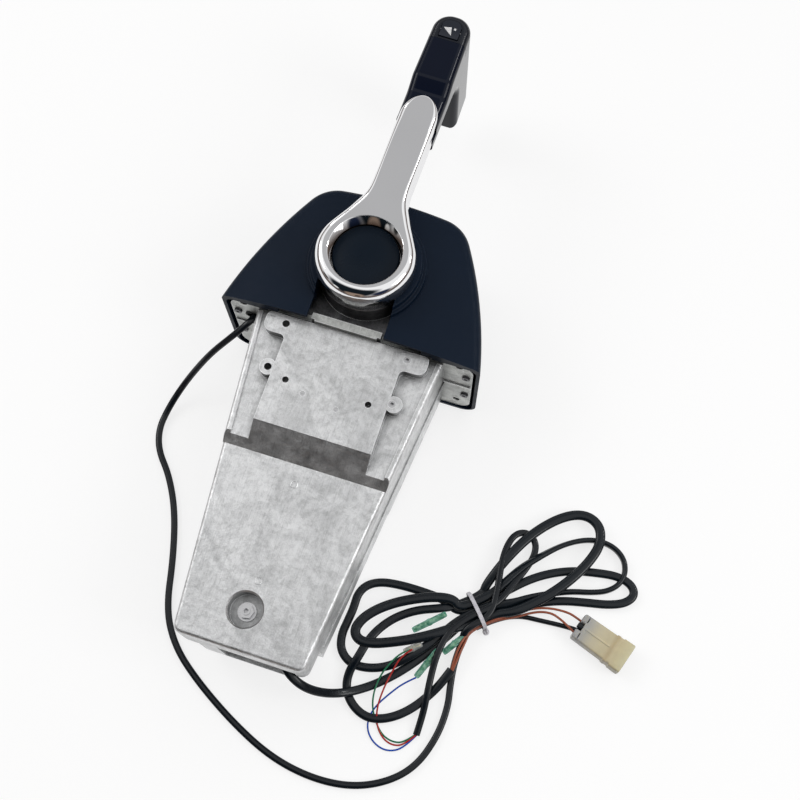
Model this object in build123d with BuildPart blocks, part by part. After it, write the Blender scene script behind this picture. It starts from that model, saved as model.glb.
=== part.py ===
"""Top-mount remote control for an outboard engine, lying on its far side with the lever side up.

Frame, in millimetres: +X is forward (the way the lever is pushed for ahead), +Y runs from the
housing's lower end to the lever's tip, +Z from the resting face towards the lever side.
Most sketches use "deck" coordinates: x, and y counted from the deck that the dome stands on.
"""
import os
from math import acos, cos, pi, radians, sin, sqrt, tan

from build123d import *

# ---------------------------------------------------------------- driving dimensions
# overall
lever_rise = 276.0            # deck to lever tip
housing_drop = 257.0          # deck to the housing's lower end
hub_x = -3.0                  # lever pivot, fore and aft
hub_rise = 54.0               # lever pivot above the deck
lever_lean = 1.2              # degrees that the neutral lever leans forward

# dome cover
dome_length = 215.0
dome_height = 119.0
dome_top_length = dome_length - 97.0
dome_belly = dome_length / 2 - 15.0   # half length at mid height
dome_belly_height = 50.0
dome_crown = 3.0
dome_depth = 114.0            # at the middle of the near side
dome_end_depth = 101.0
dome_draft = 3.0
dome_shoulder = 30.0
dome_near_round = 8.0
dome_far_round = 15.0
dome_wall = 3.0
slot_width = 63.0
collar_wall = 5.4
collar_top = 121.0
bead_width = 3.5
bead_level = 115.5
post_radius = 4.5
post_length = 18.0
post_x = dome_length / 2 - 11.0
post_spread = 20.0
post_hole_radius = 1.7
post_screw_length = 18.0
post_screw_head = 3.2
post_screw_head_height = 2.0

# deck flange plate
plate_thickness = 5.0
plate_recess = 1.5
plate_gap = 0.4
window_width = 100.0
window_low = 24.0
window_high = 82.0
deck_bolt_pitch_x = dome_length - 35.0
deck_bolt_pitch_z = 76.0
deck_bolt_hole = 3.3
bolt_shift = 6.0              # bolt pattern's middle above the parting plane
plate_lip_width = 57.0
end_rib = 1.4
end_rib_width = 1.6

trim_hole_x = 21.5 - dome_length / 2
trim_hole_z = 74.0
trim_hole_radius = 4.6

# housing castings, two halves that part at mid depth
housing_parting = 50.0
housing_half_depth = 50.0     # parting plane to the raised pad
pad_step = 12.0               # raised pad above the lower panel
shoulder_step = 8.0           # raised pad above the shoulders beside it
housing_top_width = 155.0
housing_end_width = 102.6
housing_wall = 4.0
housing_edge_round = 3.0
housing_corner_round = 7.0
pad_width = 95.0
pad_drop = 88.0               # deck to the pad's lower edge
pad_slope_run = 22.0
far_pad_drop = 14.0           # the far pad starts below the deck's underside
ear_reach = 67.0
ear_height = 16.5
ear_gap = 1.2                 # the dome's mouth passes the ears with this clearance
lobe_x = 51.5
lobe_drop = 45.0
lobe_radius = 6.8
shoulder_rim = 3.5
shoulder_rim_height = 1.3
lip_width = 1.4
lip_thickness = 3.0
rear_end_width = 84.0
rear_end_run = 22.0
outlet_width = 62.0
outlet_x = 12.0
outlet_low = 16.0
outlet_high = 66.0

# pad fixings
side_hole_x = 50.0
ear_hole_drop = 7.0
side_hole_radius = 3.0
side_hole_depth = 13.0
inner_hole_x = 33.8
inner_hole_drop = 51.0
inner_hole_radius = 2.6
dowel_radius = 2.0
dowel_length = 10.0
boss_wall = 3.2

# lower through stud and its recess
stud_x = -5.0
stud_drop = housing_drop - 31.0
recess_radius = 13.2
recess_depth = 13.0
stud_radius = 3.0
nut_across_flats = 10.0
nut_height = 5.0
post_wall = 4.5

# case screws
case_screw_radius = 2.5
case_head_radius = 4.5
case_head_height = 3.2
case_post_radius = 6.5
case_screw_inset = 11.0
case_screw_drops = (24.0, 100.0, housing_drop - 19.0)
case_screw_length = 55.0

# screws that hang the castings from the deck plate
flange_block = 12.0
flange_block_drop = 14.0
flange_block_gap = 6.0
flange_screw_spread = 22.0
flange_screw_radius = 2.5
flange_head_radius = 4.5
flange_head_height = 3.0

# bearing frame inside the dome
frame_half_width = 42.0
frame_wall = 8.0
frame_far = 14.0
frame_near = 92.0
frame_bridge_gap = 3.0
frame_bridge = 6.0
boss_radius = 38.0
boss_top = 112.0
frame_screw_radius = 2.5
frame_screw_length = 15.0
frame_screw_head = 4.5
frame_screw_head_height = 2.6
frame_screw_hole = 12.0
frame_screw_x = 30.0

# shaft train
shaft_radius = 8.0
shaft_bore_radius = 2.8
bush_wall = 3.5
running_gap = 0.04
fit_gap = 0.02
shaft_tail = 4.0
clip_thickness = 1.2
clip_width = 2.2
gear_module = 2.0
shift_pinion_teeth = 20
shift_sector_teeth = 46
throttle_pinion_teeth = 24
throttle_sector_teeth = 42
gear_face = 8.0
shift_level = 60.0
throttle_level = 30.0
tooth_backlash = 0.35
pressure_angle = 20.0
detent_radius = 27.0
detent_thickness = 4.0
detent_level = 74.0
ball_radius = 3.0
key_width = 4.0
key_depth = 2.0

# arm shaft and arms
arm_shaft_radius = 6.0
arm_bush_wall = 2.0
arm_hub_wall = 5.0
shift_arm_length = 60.0
throttle_arm_length = 54.0
arm_width = 15.0
arm_pin_radius = 3.0
arm_pin_length = 14.0
sector_rim = 7.0
arm_hub_step = 2.0
arm_pin_groove = 1.2
arm_pin_groove_depth = 0.6
arm_pin_groove_inset = 3.5
shift_sector_span = 44.0
throttle_sector_span = 56.0

# lever
hub_disc_radius = 37.8
hub_disc_gap = 0.6
flange_level = 121.6
flange_radius = 39.5
ring_level = 126.0
ring_radius = 40.3
ring_bore = 28.45
ring_flat = 3.0
lever_face = 142.0
arm_level = 130.0
stem_level = 118.0
stem_start = 51.0
neck_half_width = 16.0
neck_flare = ((35.6, 13.0), (25.4, 26.0), (17.8, 41.0), (15.0, 54.0), (16.2, 79.0))
flat_radius = 36.7            # the hub's flat face widens into the arm round this offset circle
flat_offset = 5.2
tongue_half_width = 14.2
tongue_reach = 142.0
stem_half_width = 15.5
stem_reach = 150.0
flank_groove = 2.2
well_floor = 121.0

core_half_width = 10.0
core_thickness = 8.0
arm_edge = 3.0
ring_shoulder = 131.5
groove_start = 46.0
groove_length = 66.0
groove_level = 136.0
arm_screw_reach = (62.0, 98.0)
arm_screw_radius = 2.0
arm_screw_head = 3.5
arm_screw_head_height = 3.0
arm_screw_grip = 7.5

# grip
grip_half_width = 17.0
grip_start = 110.0
grip_front = 145.0
grip_stem_face = 139.5
grip_face_start = 146.0
grip_face_end = 160.0
grip_tip_half_width = 15.6
grip_tip_round = 14.9
grip_face_round = 12.0
grip_pin_radius = 2.0
grip_pin_half = 15.0
grip_pin_reach = 130.0
tongue_gap = 0.15
palm_depth = 45.0
palm_far = 45.0
palm_round = 12.0
grip_blend = 22.0
grip_edge = 6.0
cap_length = 26.0
cap_depth = 15.0
cap_gap = 0.25
cap_pin_x = 12.0
cap_pin_radius = 1.5
cap_pin_half = 6.0
rocker_length = 16.0
rocker_width = 16.0
rocker_depth = 5.0
rocker_gap = 0.6
rocker_pocket_round = 0.8
rocker_tip_round = 6.0
rocker_pin_radius = 1.2
rocker_proud = 1.4

# button in the hub
button_radius = 26.6
button_crown = 2.6
button_rim = 131.4
button_wall = 2.6
button_foot = 126.0
spring_radius = 11.0
spring_wire = 0.8
spring_turns = 2.5

# bolts and small fittings
hub_bolt_radius = 4.0
hub_bolt_head = 6.5
hub_bolt_head_height = 3.6
hub_bolt_length = 17.0
hub_washer_radius = 8.5
hub_washer_thickness = 1.4
friction_screw_radius = 3.0
friction_screw_length = 22.0
friction_pad_thickness = 2.5
switch_size = (20.0, 10.0, 6.5)
seat_gap = 0.3

# cords
lead_diameter = 5.5
harness_diameter = 6.5
wire_diameter = 3.0
hank_height = 18.0
hank_round = 3.0
neck_x = 158.0
neck_y = -171.0
neck_turn = 42.0              # degrees that the neck's run turns from +X towards +Y
neck_centre = 9.0
neck_width = 28.0
neck_height = 14.0
neck_length = 14.0
neck_round = 5.0
tie_width = 5.0
tie_thickness = 1.6
connector_size = (46.0, 25.0, 16.0)
connector_x = 260.0
connector_y = -165.0
connector_turn = -20.5

# ---------------------------------------------------------------- derived places
deck_y = (housing_drop - lever_rise) / 2
hub_y = deck_y + hub_rise
centre_distance = gear_module * (shift_pinion_teeth + shift_sector_teeth) / 2
arm_drop = centre_distance - hub_rise
arm_y = hub_y - centre_distance
pad_near = housing_parting + housing_half_depth
pad_far = housing_parting - housing_half_depth
panel_near = pad_near - pad_step
panel_far = pad_far + pad_step
shoulder_near = pad_near - shoulder_step
housing_top = plate_recess
plate_low = plate_recess
plate_top = plate_recess + plate_thickness
tip_reach = lever_rise - hub_rise
flange_screw_x = housing_top_width / 2 - housing_wall - flange_block / 2
throttle_pinion_tip = gear_module * (throttle_pinion_teeth / 2 + 1)
frame_arch = throttle_pinion_tip + frame_bridge_gap + frame_bridge


def level(z):
    """Plane parallel to the table at height z, with its origin on the deck line."""
    return Plane((0, deck_y, z))


def above_deck(height):
    """Plane across the object at a height above the deck: local x is -X, local y is Z."""
    return Plane(origin=(0, deck_y + height, 0), x_dir=(-1, 0, 0), z_dir=(0, 1, 0))


def lengthwise(x):
    """Plane along the object at x: local x is Y counted from the deck, local y is Z."""
    return Plane(origin=(x, deck_y, 0), x_dir=(0, 1, 0), z_dir=(1, 0, 0))


def hub_level(z):
    """Plane at height z with its origin on the lever shaft."""
    return Plane((hub_x, hub_y, z))


def arm_level_plane(z):
    """Plane at height z with its origin on the arm shaft."""
    return Plane((hub_x, arm_y, z))


def lever_plane(z):
    """Plane at height z with its origin on the lever shaft and local y along the lever."""
    lean = radians(lever_lean)
    return Plane(origin=(hub_x, hub_y, z), x_dir=(cos(lean), -sin(lean), 0), z_dir=(0, 0, 1))


def lever_side():
    """Plane through the lever's middle: local x runs along the lever, local y is Z."""
    lean = radians(lever_lean)
    return Plane(origin=(hub_x, hub_y, 0), x_dir=(sin(lean), cos(lean), 0),
                 z_dir=(cos(lean), -sin(lean), 0))


def housing_half_width(drop):
    """Half width of the castings at a distance below the deck."""
    share = drop / housing_drop
    return (housing_top_width + share * (housing_end_width - housing_top_width)) / 2


def save(part, name):
    """Label a finished piece and write it."""
    part.label = name
    export_step(part, f"parts/{name}.step")


os.makedirs("parts", exist_ok=True)


# ---------------------------------------------------------------- dome cover
def dome_side_outline(inset):
    """Outline seen from the lever side: leaning sides, round shoulders and a slight crown."""
    half = dome_length / 2 - inset
    top_half = dome_top_length / 2 - inset
    top = dome_height - inset
    belly = (dome_belly - inset, dome_belly_height)
    with BuildSketch(level(inset)) as outline:
        with BuildLine():
            Line((-half, inset), (half, inset))
            ThreePointArc((half, inset), belly, (top_half, top - dome_crown))
            ThreePointArc((top_half, top - dome_crown), (0, top), (-top_half, top - dome_crown))
            ThreePointArc((-top_half, top - dome_crown), (-belly[0], belly[1]), (-half, inset))
        make_face()
        fillet(outline.vertices().group_by(Axis.Y)[-1], dome_shoulder - inset)
    return outline.sketch


def dome_plan_outline(inset, height):
    """Outline seen from above: flat far side, near side that swells towards the hub."""
    reach = dome_length
    swell = dome_depth - dome_end_depth
    corner = dome_end_depth - swell * (2 * reach / dome_length) ** 2 + swell
    with BuildSketch(above_deck(height)) as outline:
        with BuildLine():
            Polyline((reach, corner - inset), (reach, -dome_depth), (-reach, -dome_depth),
                     (-reach, corner - inset))
            ThreePointArc((-reach, corner - inset), (0, dome_depth - inset), (reach, corner - inset))
        make_face()
    return outline.sketch


def dome_form(inset):
    """Solid dome, set in by `inset` on every side."""
    lean = Vector(0, cos(radians(dome_draft)), -sin(radians(dome_draft)))
    with BuildPart() as plan:
        add(dome_plan_outline(inset, -dome_wall))
        extrude(amount=dome_height + 4 * dome_wall, dir=lean)
    with BuildPart() as form:
        add(dome_side_outline(inset))
        extrude(amount=dome_depth + dome_wall, dir=(0, 0, 1))
        add(plan.part, mode=Mode.INTERSECT)
        around = form.edges().filter_by(lambda edge: edge.center().Y > deck_y + inset + 1)
        near = around.filter_by(lambda edge: edge.bounding_box().min.Z > dome_end_depth / 2)
        fillet(near, dome_near_round - inset)
        far = form.edges().filter_by(lambda edge: edge.center().Y > deck_y + inset + 1
                                     and edge.bounding_box().max.Z < inset + 0.01)
        fillet(far, dome_far_round - inset)
    return form.part


dome_outer = dome_form(0)
dome_inner = dome_form(dome_wall)
collar_bore = boss_radius + seat_gap * 2
collar_radius = collar_bore + collar_wall
with BuildPart() as dome_cover:
    add(dome_outer)
    add(dome_inner, mode=Mode.SUBTRACT)
    # the open mouth at the deck
    mouth_half = dome_length / 2 - dome_wall
    mouth_near = dome_end_depth - dome_wall
    with BuildSketch(above_deck(0)) as mouth:
        with Locations((0, (dome_wall + mouth_near) / 2)):
            RectangleRounded(2 * mouth_half, mouth_near - dome_wall, dome_near_round)
        with Locations((0, dome_depth / 2)):
            Rectangle(dome_top_length, dome_depth - 4 * dome_wall)
        with Locations((0, (pad_near + ear_gap) / 2 + dome_wall)):
            Rectangle(2 * (ear_reach + ear_gap), pad_near + ear_gap - 2 * dome_wall)
    extrude(amount=dome_wall, mode=Mode.SUBTRACT)
    # collar round the lever hub, with a bead at its foot
    with BuildSketch(hub_level(dome_end_depth)):
        Circle(collar_radius)
    extrude(amount=collar_top - dome_end_depth)
    with BuildSketch(hub_level(dome_end_depth)):
        Circle(collar_radius + bead_width)
    extrude(amount=bead_level - dome_end_depth)
    fillet(dome_cover.edges().filter_by(GeomType.CIRCLE).filter_by(
        lambda edge: edge.center().Z > bead_level - 0.1), 1.2)
    with BuildSketch(hub_level(dome_end_depth - 3 * dome_wall)):
        Circle(collar_bore)
    extrude(amount=collar_top, mode=Mode.SUBTRACT)
    # slot from the hub down to the deck
    with BuildSketch(Plane((hub_x, hub_y, dome_end_depth / 2 + housing_half_depth / 2))):
        with Locations((0, -hub_rise / 2 - 1)):
            Rectangle(slot_width, hub_rise + 2)
    extrude(amount=dome_depth, mode=Mode.SUBTRACT)
    # screw posts inside the skirt
    post_near = housing_parting + bolt_shift + post_spread
    post_far = housing_parting + bolt_shift - post_spread
    with BuildSketch(above_deck(plate_top)):
        with Locations(*[(x, z) for x in (-post_x, post_x) for z in (post_far, post_near)]):
            Circle(post_radius)
    extrude(amount=post_length)
    with BuildSketch(above_deck(plate_top)):
        with Locations(*[(x, z) for x in (-post_x, post_x) for z in (post_far, post_near)]):
            Circle(post_hole_radius)
    extrude(amount=post_length - dome_wall, mode=Mode.SUBTRACT)
save(dome_cover.part, "dome_cover")

# ---------------------------------------------------------------- deck flange plate
plate_half = dome_length / 2 - dome_wall - plate_gap - plate_top * tan(radians(20))
plate_far = dome_wall + plate_gap
plate_near = dome_end_depth - dome_wall - plate_gap
plate_mid = (plate_far + plate_near) / 2
bolt_centre = housing_parting + bolt_shift
frame_foot_z = (frame_far + frame_wall / 2, frame_near - frame_wall / 2)
with BuildPart() as base_plate:
    with BuildSketch(above_deck(plate_low)):
        with Locations((0, plate_mid)):
            RectangleRounded(2 * plate_half, plate_near - plate_far, dome_far_round - dome_wall + 1)
        with Locations((-hub_x, plate_mid + dome_near_round)):
            Rectangle(plate_lip_width, plate_near - plate_far)
        with Locations((-hub_x, (window_low + window_high) / 2)):
            Rectangle(window_width, window_high - window_low, mode=Mode.SUBTRACT)
    extrude(amount=plate_thickness)
    # lip that closes the slot at deck level
    with BuildSketch(above_deck(0)):
        with Locations((-hub_x, (pad_near + plate_near + dome_near_round) / 2 + seat_gap)):
            Rectangle(plate_lip_width - 6, plate_near + dome_near_round - pad_near - 2 * seat_gap)
    extrude(amount=plate_low)
    # cross ribs at both ends
    with BuildSketch(above_deck(plate_low - end_rib)):
        with Locations(*[(side * (plate_half + housing_top_width / 2) / 2, bolt_centre)
                         for side in (-1, 1)]):
            Rectangle(plate_half - housing_top_width / 2 - 2, end_rib_width)
    extrude(amount=end_rib)
    # deck bolts, dome screws and bearing frame screws
    with Locations(above_deck(0)):
        with Locations(*[(side_x * deck_bolt_pitch_x / 2, bolt_centre + side_z * deck_bolt_pitch_z / 2)
                         for side_x in (-1, 1) for side_z in (-1, 1)]):
            Hole(deck_bolt_hole)
        with Locations(*[(x, z) for x in (-post_x, post_x) for z in (post_far, post_near)]):
            Hole(post_hole_radius + seat_gap)
        with Locations(*[(-hub_x + x, z) for x in (-frame_screw_x, frame_screw_x)
                         for z in frame_foot_z]):
            Hole(frame_screw_radius + fit_gap)
        with Locations(*[(side * flange_screw_x, housing_parting + rise)
                         for side in (-1, 1) for rise in (-flange_screw_spread, flange_screw_spread)]):
            Hole(flange_screw_radius + fit_gap)
        with Locations((-trim_hole_x, trim_hole_z)):
            Hole(trim_hole_radius)
save(base_plate.part, "base_plate")


# ---------------------------------------------------------------- housing castings
def case_outline(inset, drop_start, drop_end, plane):
    """Tapered outline of the castings between two drops below the deck, set in by `inset`."""
    top_half = housing_half_width(drop_start) - inset
    end_half = housing_half_width(drop_end) - inset
    with BuildSketch(plane) as outline:
        with BuildLine():
            Polyline((-top_half, -drop_start), (top_half, -drop_start), (end_half, -drop_end),
                     (-end_half, -drop_end), close=True)
        make_face()
    return outline.sketch


def half_profile(outer, panel, parting, pad_start):
    """Lengthwise section of one casting: raised pad, sloped step and lower panel."""
    with BuildSketch(lengthwise(-housing_top_width)) as profile:
        with BuildLine():
            Polyline((housing_top, parting), (housing_top, shoulder_near), (-pad_start, shoulder_near),
                     (-pad_start, outer), (-pad_drop, outer),
                     (-pad_drop - pad_slope_run, panel), (-housing_drop, panel),
                     (-housing_drop, parting), close=True)
        make_face()
    return profile.sketch


def pad_outline(plane, grow=0.0):
    """Raised pad with an ear at each upper corner and a round lobe lower on each side."""
    half = pad_width / 2 + grow
    with BuildSketch(plane) as outline:
        with Locations((0, housing_top - (pad_drop + pad_slope_run + housing_top) / 2)):
            Rectangle(2 * half, pad_drop + pad_slope_run + housing_top)
        with Locations((0, housing_top - (ear_height + housing_top) / 2)):
            Rectangle(2 * (ear_reach + grow), ear_height + housing_top + grow)
        fillet(outline.vertices().filter_by(
            lambda corner: abs(corner.X) > ear_reach + grow - 1), ear_height * 0.42)
        fillet(outline.vertices().filter_by(
            lambda corner: abs(abs(corner.X) - half) < 0.1
            and corner.Y > deck_y - ear_height - grow - 1), 4.0)
        with Locations(*[(side * lobe_x, -lobe_drop) for side in (-1, 1)]):
            Circle(lobe_radius + grow)
    return outline.sketch


case_screw_places = []
for case_drop in case_screw_drops:
    for case_side in (-1, 1):
        case_screw_places.append((case_side * (housing_half_width(case_drop) - case_screw_inset),
                                  -case_drop))
side_holes = [(-side_hole_x, -ear_hole_drop), (-lobe_x, -lobe_drop)]
inner_holes = [(-inner_hole_x - 1, -inner_hole_drop), (inner_hole_x - 1, -inner_hole_drop)]
plug_holes = [(side_hole_x, -ear_hole_drop), (lobe_x - 1.5, -lobe_drop)]
dowel_places = [(-18.4, -57.7), (10.3, -62.3)]
arm_end_radius = arm_shaft_radius + boss_wall
arm_shaft_near = pad_near - housing_wall / 2
arm_shaft_far = pad_far + housing_wall / 2
case_screw_tip = panel_far + case_screw_length


def case_half(pad_sketch, end_width, pad_start):
    """One casting, lever side up: panel, shoulders with a rim, raised pad and sloped step, hollow."""
    step_drop = pad_drop + pad_slope_run
    rim_level = shoulder_near + shoulder_rim_height
    with BuildPart() as lower:
        add(case_outline(0, pad_drop, housing_drop, level(housing_parting)))
        extrude(amount=panel_near - housing_parting)
        if end_width < housing_end_width:
            with BuildSketch(level(housing_parting)):
                with Locations(*[(side * (end_width / 2 + housing_top_width / 2), -housing_drop)
                                 for side in (-1, 1)]):
                    Rectangle(housing_top_width, 2 * rear_end_run)
            extrude(amount=housing_half_depth, mode=Mode.SUBTRACT)
        fillet(lower.edges().filter_by(Axis.Z).group_by(Axis.Y)[0], housing_corner_round)
        fillet(lower.faces().sort_by(Axis.Z)[-1].edges().filter_by(
            lambda edge: edge.center().Y < deck_y - pad_drop - 1), housing_edge_round)
    with BuildPart() as upper:
        add(case_outline(0, -housing_top, step_drop, level(housing_parting)))
        extrude(amount=rim_level - housing_parting)
        fillet(upper.faces().sort_by(Axis.Z)[-1].edges().filter_by(
            lambda edge: abs(edge.center().X) > pad_width / 2), housing_edge_round)
        add(case_outline(shoulder_rim + housing_edge_round / 2, -housing_top - 1,
                         pad_drop + pad_slope_run * 0.66, level(shoulder_near)))
        extrude(amount=shoulder_step, mode=Mode.SUBTRACT)
    with BuildPart() as section:
        add(half_profile(pad_near, panel_near, housing_parting, pad_start))
        extrude(amount=2 * housing_top_width, dir=(1, 0, 0))
    with BuildPart() as half:
        add(pad_sketch)
        extrude(amount=housing_half_depth)
        add(upper.part)
        add(section.part, mode=Mode.INTERSECT)
        add(lower.part)
        add(case_outline(housing_wall, -housing_top - 1, housing_drop - housing_wall - rear_end_run
                         * (end_width < housing_end_width), level(housing_parting)))
        extrude(amount=panel_near - housing_wall - housing_parting, mode=Mode.SUBTRACT)
        with BuildSketch(level(housing_parting)):
            with Locations((0, -housing_drop + housing_wall + rear_end_run)):
                Rectangle(end_width - 2 * housing_wall, 2 * rear_end_run)
        extrude(amount=panel_near - housing_wall - housing_parting, mode=Mode.SUBTRACT)
        # cavity behind the shoulders' level, and a deeper one behind the pad
        pad_roof = -pad_start - housing_wall if pad_start else housing_top + 1
        for roof, depth in ((housing_top + 1, shoulder_near - panel_near), (pad_roof, pad_step)):
            with BuildSketch(level(panel_near - housing_wall)):
                with Locations((0, (roof - pad_drop + housing_wall) / 2)):
                    Rectangle(pad_width - 2 * housing_wall, roof + pad_drop - housing_wall)
            extrude(amount=depth, mode=Mode.SUBTRACT)
        # blocks under the deck plate for the flange screws
        with BuildSketch(level(housing_parting + flange_block_gap)):
            with Locations(*[(side * (housing_half_width(0) - housing_wall - flange_block / 2 + 0.5),
                              housing_top - flange_block_drop / 2) for side in (-1, 1)]):
                Rectangle(flange_block + 1, flange_block_drop)
        extrude(amount=shoulder_near - housing_wall - housing_parting - flange_block_gap)
        with BuildSketch(above_deck(housing_top)):
            with Locations(*[(side * flange_screw_x, housing_parting + flange_screw_spread)
                             for side in (-1, 1)]):
                Circle(flange_screw_radius + fit_gap)
        extrude(amount=-(flange_block_drop - 2), mode=Mode.SUBTRACT)
        # posts for the case screws
        with BuildSketch(level(housing_parting)):
            with Locations(*case_screw_places):
                Circle(case_post_radius)
        extrude(amount=panel_near - housing_wall - housing_parting)
    return half.part


with BuildPart() as front_housing:
    add(case_half(pad_outline(level(housing_parting)), housing_end_width, 0))
    # bosses behind the inner holes, the dowels and the arm shaft's seat
    with BuildSketch(level(pad_near - housing_wall)):
        with Locations(*inner_holes):
            Circle(inner_hole_radius + boss_wall)
        with Locations(*dowel_places):
            Circle(dowel_radius + boss_wall)
        with Locations((hub_x, -arm_drop)):
            Circle(arm_end_radius)
    extrude(amount=-pad_step)
    with BuildSketch(level(housing_parting)):
        with Locations((stud_x, -stud_drop)):
            Circle(recess_radius + post_wall)
    extrude(amount=panel_near - housing_wall - housing_parting)
    # holes
    with BuildSketch(level(pad_near)):
        with Locations(*side_holes, *plug_holes):
            Circle(side_hole_radius)
    extrude(amount=-side_hole_depth, mode=Mode.SUBTRACT)
    with BuildSketch(level(pad_near)):
        with Locations(*inner_holes):
            Circle(inner_hole_radius)
        with Locations(*dowel_places):
            Circle(dowel_radius)
    extrude(amount=-dowel_length, mode=Mode.SUBTRACT)
    with BuildSketch(level(housing_parting)):
        with Locations((hub_x, -arm_drop)):
            Circle(arm_shaft_radius + running_gap)
    extrude(amount=arm_shaft_near - housing_parting, mode=Mode.SUBTRACT)
    with BuildSketch(level(housing_parting)):
        with Locations(*case_screw_places):
            Circle(case_screw_radius + fit_gap)
    extrude(amount=case_screw_tip - housing_parting, mode=Mode.SUBTRACT)
    with BuildSketch(level(panel_near)):
        with Locations((stud_x, -stud_drop)):
            Circle(recess_radius)
    extrude(amount=-recess_depth, mode=Mode.SUBTRACT)
    chamfer(front_housing.edges().filter_by(GeomType.CIRCLE).filter_by(
        lambda edge: abs(edge.radius - recess_radius) < 0.1
        and abs(edge.center().Z - panel_near) < 0.1), 1.2)
    with BuildSketch(level(housing_parting)):
        with Locations((stud_x, -stud_drop)):
            Circle(stud_radius + fit_gap)
    extrude(amount=housing_half_depth, mode=Mode.SUBTRACT)
    # cable outlet in the lower wall
    with BuildSketch(above_deck(-housing_drop - 1)):
        with Locations((-outlet_x, (outlet_low + outlet_high) / 2)):
            Rectangle(outlet_width, outlet_high - outlet_low)
    extrude(amount=housing_wall + 2, mode=Mode.SUBTRACT)
save(front_housing.part, "front_housing")

with BuildSketch(level(housing_parting)) as rear_pad:
    with Locations((0, housing_top - (pad_drop + pad_slope_run + housing_top) / 2)):
        Rectangle(pad_width, pad_drop + pad_slope_run + housing_top)
with BuildPart() as parting_lip:
    add(case_outline(-lip_width, -housing_top, housing_drop - rear_end_run - 5,
                     level(housing_parting)))
    extrude(amount=-lip_thickness)
    add(case_outline(housing_wall / 2, -housing_top - 1, housing_drop, level(housing_parting)))
    extrude(amount=-lip_thickness, mode=Mode.SUBTRACT)
with BuildPart() as rear_housing:
    add(mirror(case_half(rear_pad.sketch, rear_end_width, far_pad_drop),
               about=Plane.XY.offset(housing_parting)))
    # parting lip that stands proud of the front casting
    add(parting_lip.part)
    with BuildSketch(level(pad_far + housing_wall)):
        with Locations((hub_x, -arm_drop)):
            Circle(arm_end_radius)
    extrude(amount=pad_step)
    with BuildSketch(level(housing_parting)):
        with Locations((stud_x, -stud_drop)):
            Circle(stud_radius + post_wall)
    extrude(amount=-(housing_parting - panel_far - housing_wall))
    with BuildSketch(level(housing_parting)):
        with Locations((hub_x, -arm_drop)):
            Circle(arm_shaft_radius + running_gap)
    extrude(amount=-(housing_parting - arm_shaft_far), mode=Mode.SUBTRACT)
    with BuildSketch(level(housing_parting)):
        with Locations(*case_screw_places):
            Circle(case_screw_radius + fit_gap)
        with Locations((stud_x, -stud_drop)):
            Circle(stud_radius + fit_gap)
    extrude(amount=-housing_half_depth, mode=Mode.SUBTRACT)
    with BuildSketch(level(panel_far)):
        with Locations(*case_screw_places):
            Circle(case_head_radius + seat_gap)
    extrude(amount=-pad_step, mode=Mode.SUBTRACT)
    with BuildSketch(above_deck(-housing_drop - 1)):
        with Locations((-outlet_x, (outlet_low + outlet_high) / 2)):
            Rectangle(outlet_width, outlet_high - outlet_low)
    extrude(amount=housing_wall + 2, mode=Mode.SUBTRACT)
save(rear_housing.part, "rear_housing")


# ---------------------------------------------------------------- screws, stud, nut and dowels
def round_pin(plane_places, radius, length):
    """Plain round pins, one for each plane, each starting on it and running along its normal."""
    with BuildPart() as pins:
        for plane in plane_places:
            with BuildSketch(plane):
                Circle(radius)
            extrude(amount=length)
    return pins.part


def socket_screws(planes, radius, length, head_radius, head_height):
    """Socket head screws: the head's seat lies on each plane and the shank runs along its normal."""
    with BuildPart() as screws:
        for plane in planes:
            with BuildSketch(plane):
                Circle(radius)
            extrude(amount=length)
            with BuildSketch(plane):
                Circle(head_radius)
            extrude(amount=-head_height)
            with BuildSketch(plane.offset(-head_height)):
                RegularPolygon(head_radius * 0.5, 6)
            extrude(amount=head_height * 0.6, mode=Mode.SUBTRACT)
    return screws.part


save(socket_screws([Plane((x, deck_y + y, panel_far)) for x, y in case_screw_places],
                   case_screw_radius, case_screw_length - seat_gap, case_head_radius, case_head_height),
     "case_screws")
save(socket_screws([Plane(origin=(side * flange_screw_x, deck_y + plate_top, housing_parting + rise),
                          x_dir=(1, 0, 0), z_dir=(0, -1, 0))
                    for side in (-1, 1) for rise in (-flange_screw_spread, flange_screw_spread)],
                   flange_screw_radius, plate_thickness + flange_block_drop - 3, flange_head_radius,
                   flange_head_height), "flange_screws")
save(socket_screws([Plane(origin=(hub_x + x, deck_y + plate_low, z), x_dir=(1, 0, 0), z_dir=(0, 1, 0))
                    for x in (-frame_screw_x, frame_screw_x) for z in frame_foot_z],
                   frame_screw_radius, frame_screw_length, frame_screw_head, frame_screw_head_height),
     "frame_screws")
save(socket_screws([Plane(origin=(x, deck_y + plate_low, z), x_dir=(1, 0, 0), z_dir=(0, 1, 0))
                    for x in (-post_x, post_x) for z in (post_far, post_near)],
                   post_hole_radius - fit_gap, post_screw_length, post_screw_head, post_screw_head_height),
     "dome_screws")
with BuildPart() as pad_plugs:
    # socket set screws run flush into two of the pad's tapped holes
    with BuildSketch(level(pad_near)):
        with Locations(*plug_holes):
            Circle(side_hole_radius - fit_gap)
    extrude(amount=-side_hole_depth + 1)
    with BuildSketch(level(pad_near)):
        with Locations(*plug_holes):
            RegularPolygon(side_hole_radius * 0.55, 6)
    extrude(amount=-3, mode=Mode.SUBTRACT)
save(pad_plugs.part, "pad_plugs")
with BuildPart() as dowel_pins:
    with BuildSketch(level(pad_near)):
        with Locations(*dowel_places):
            Circle(dowel_radius - fit_gap)
    extrude(amount=-dowel_length + 1)
save(dowel_pins.part, "dowel_pins")
recess_floor = panel_near - recess_depth
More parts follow.
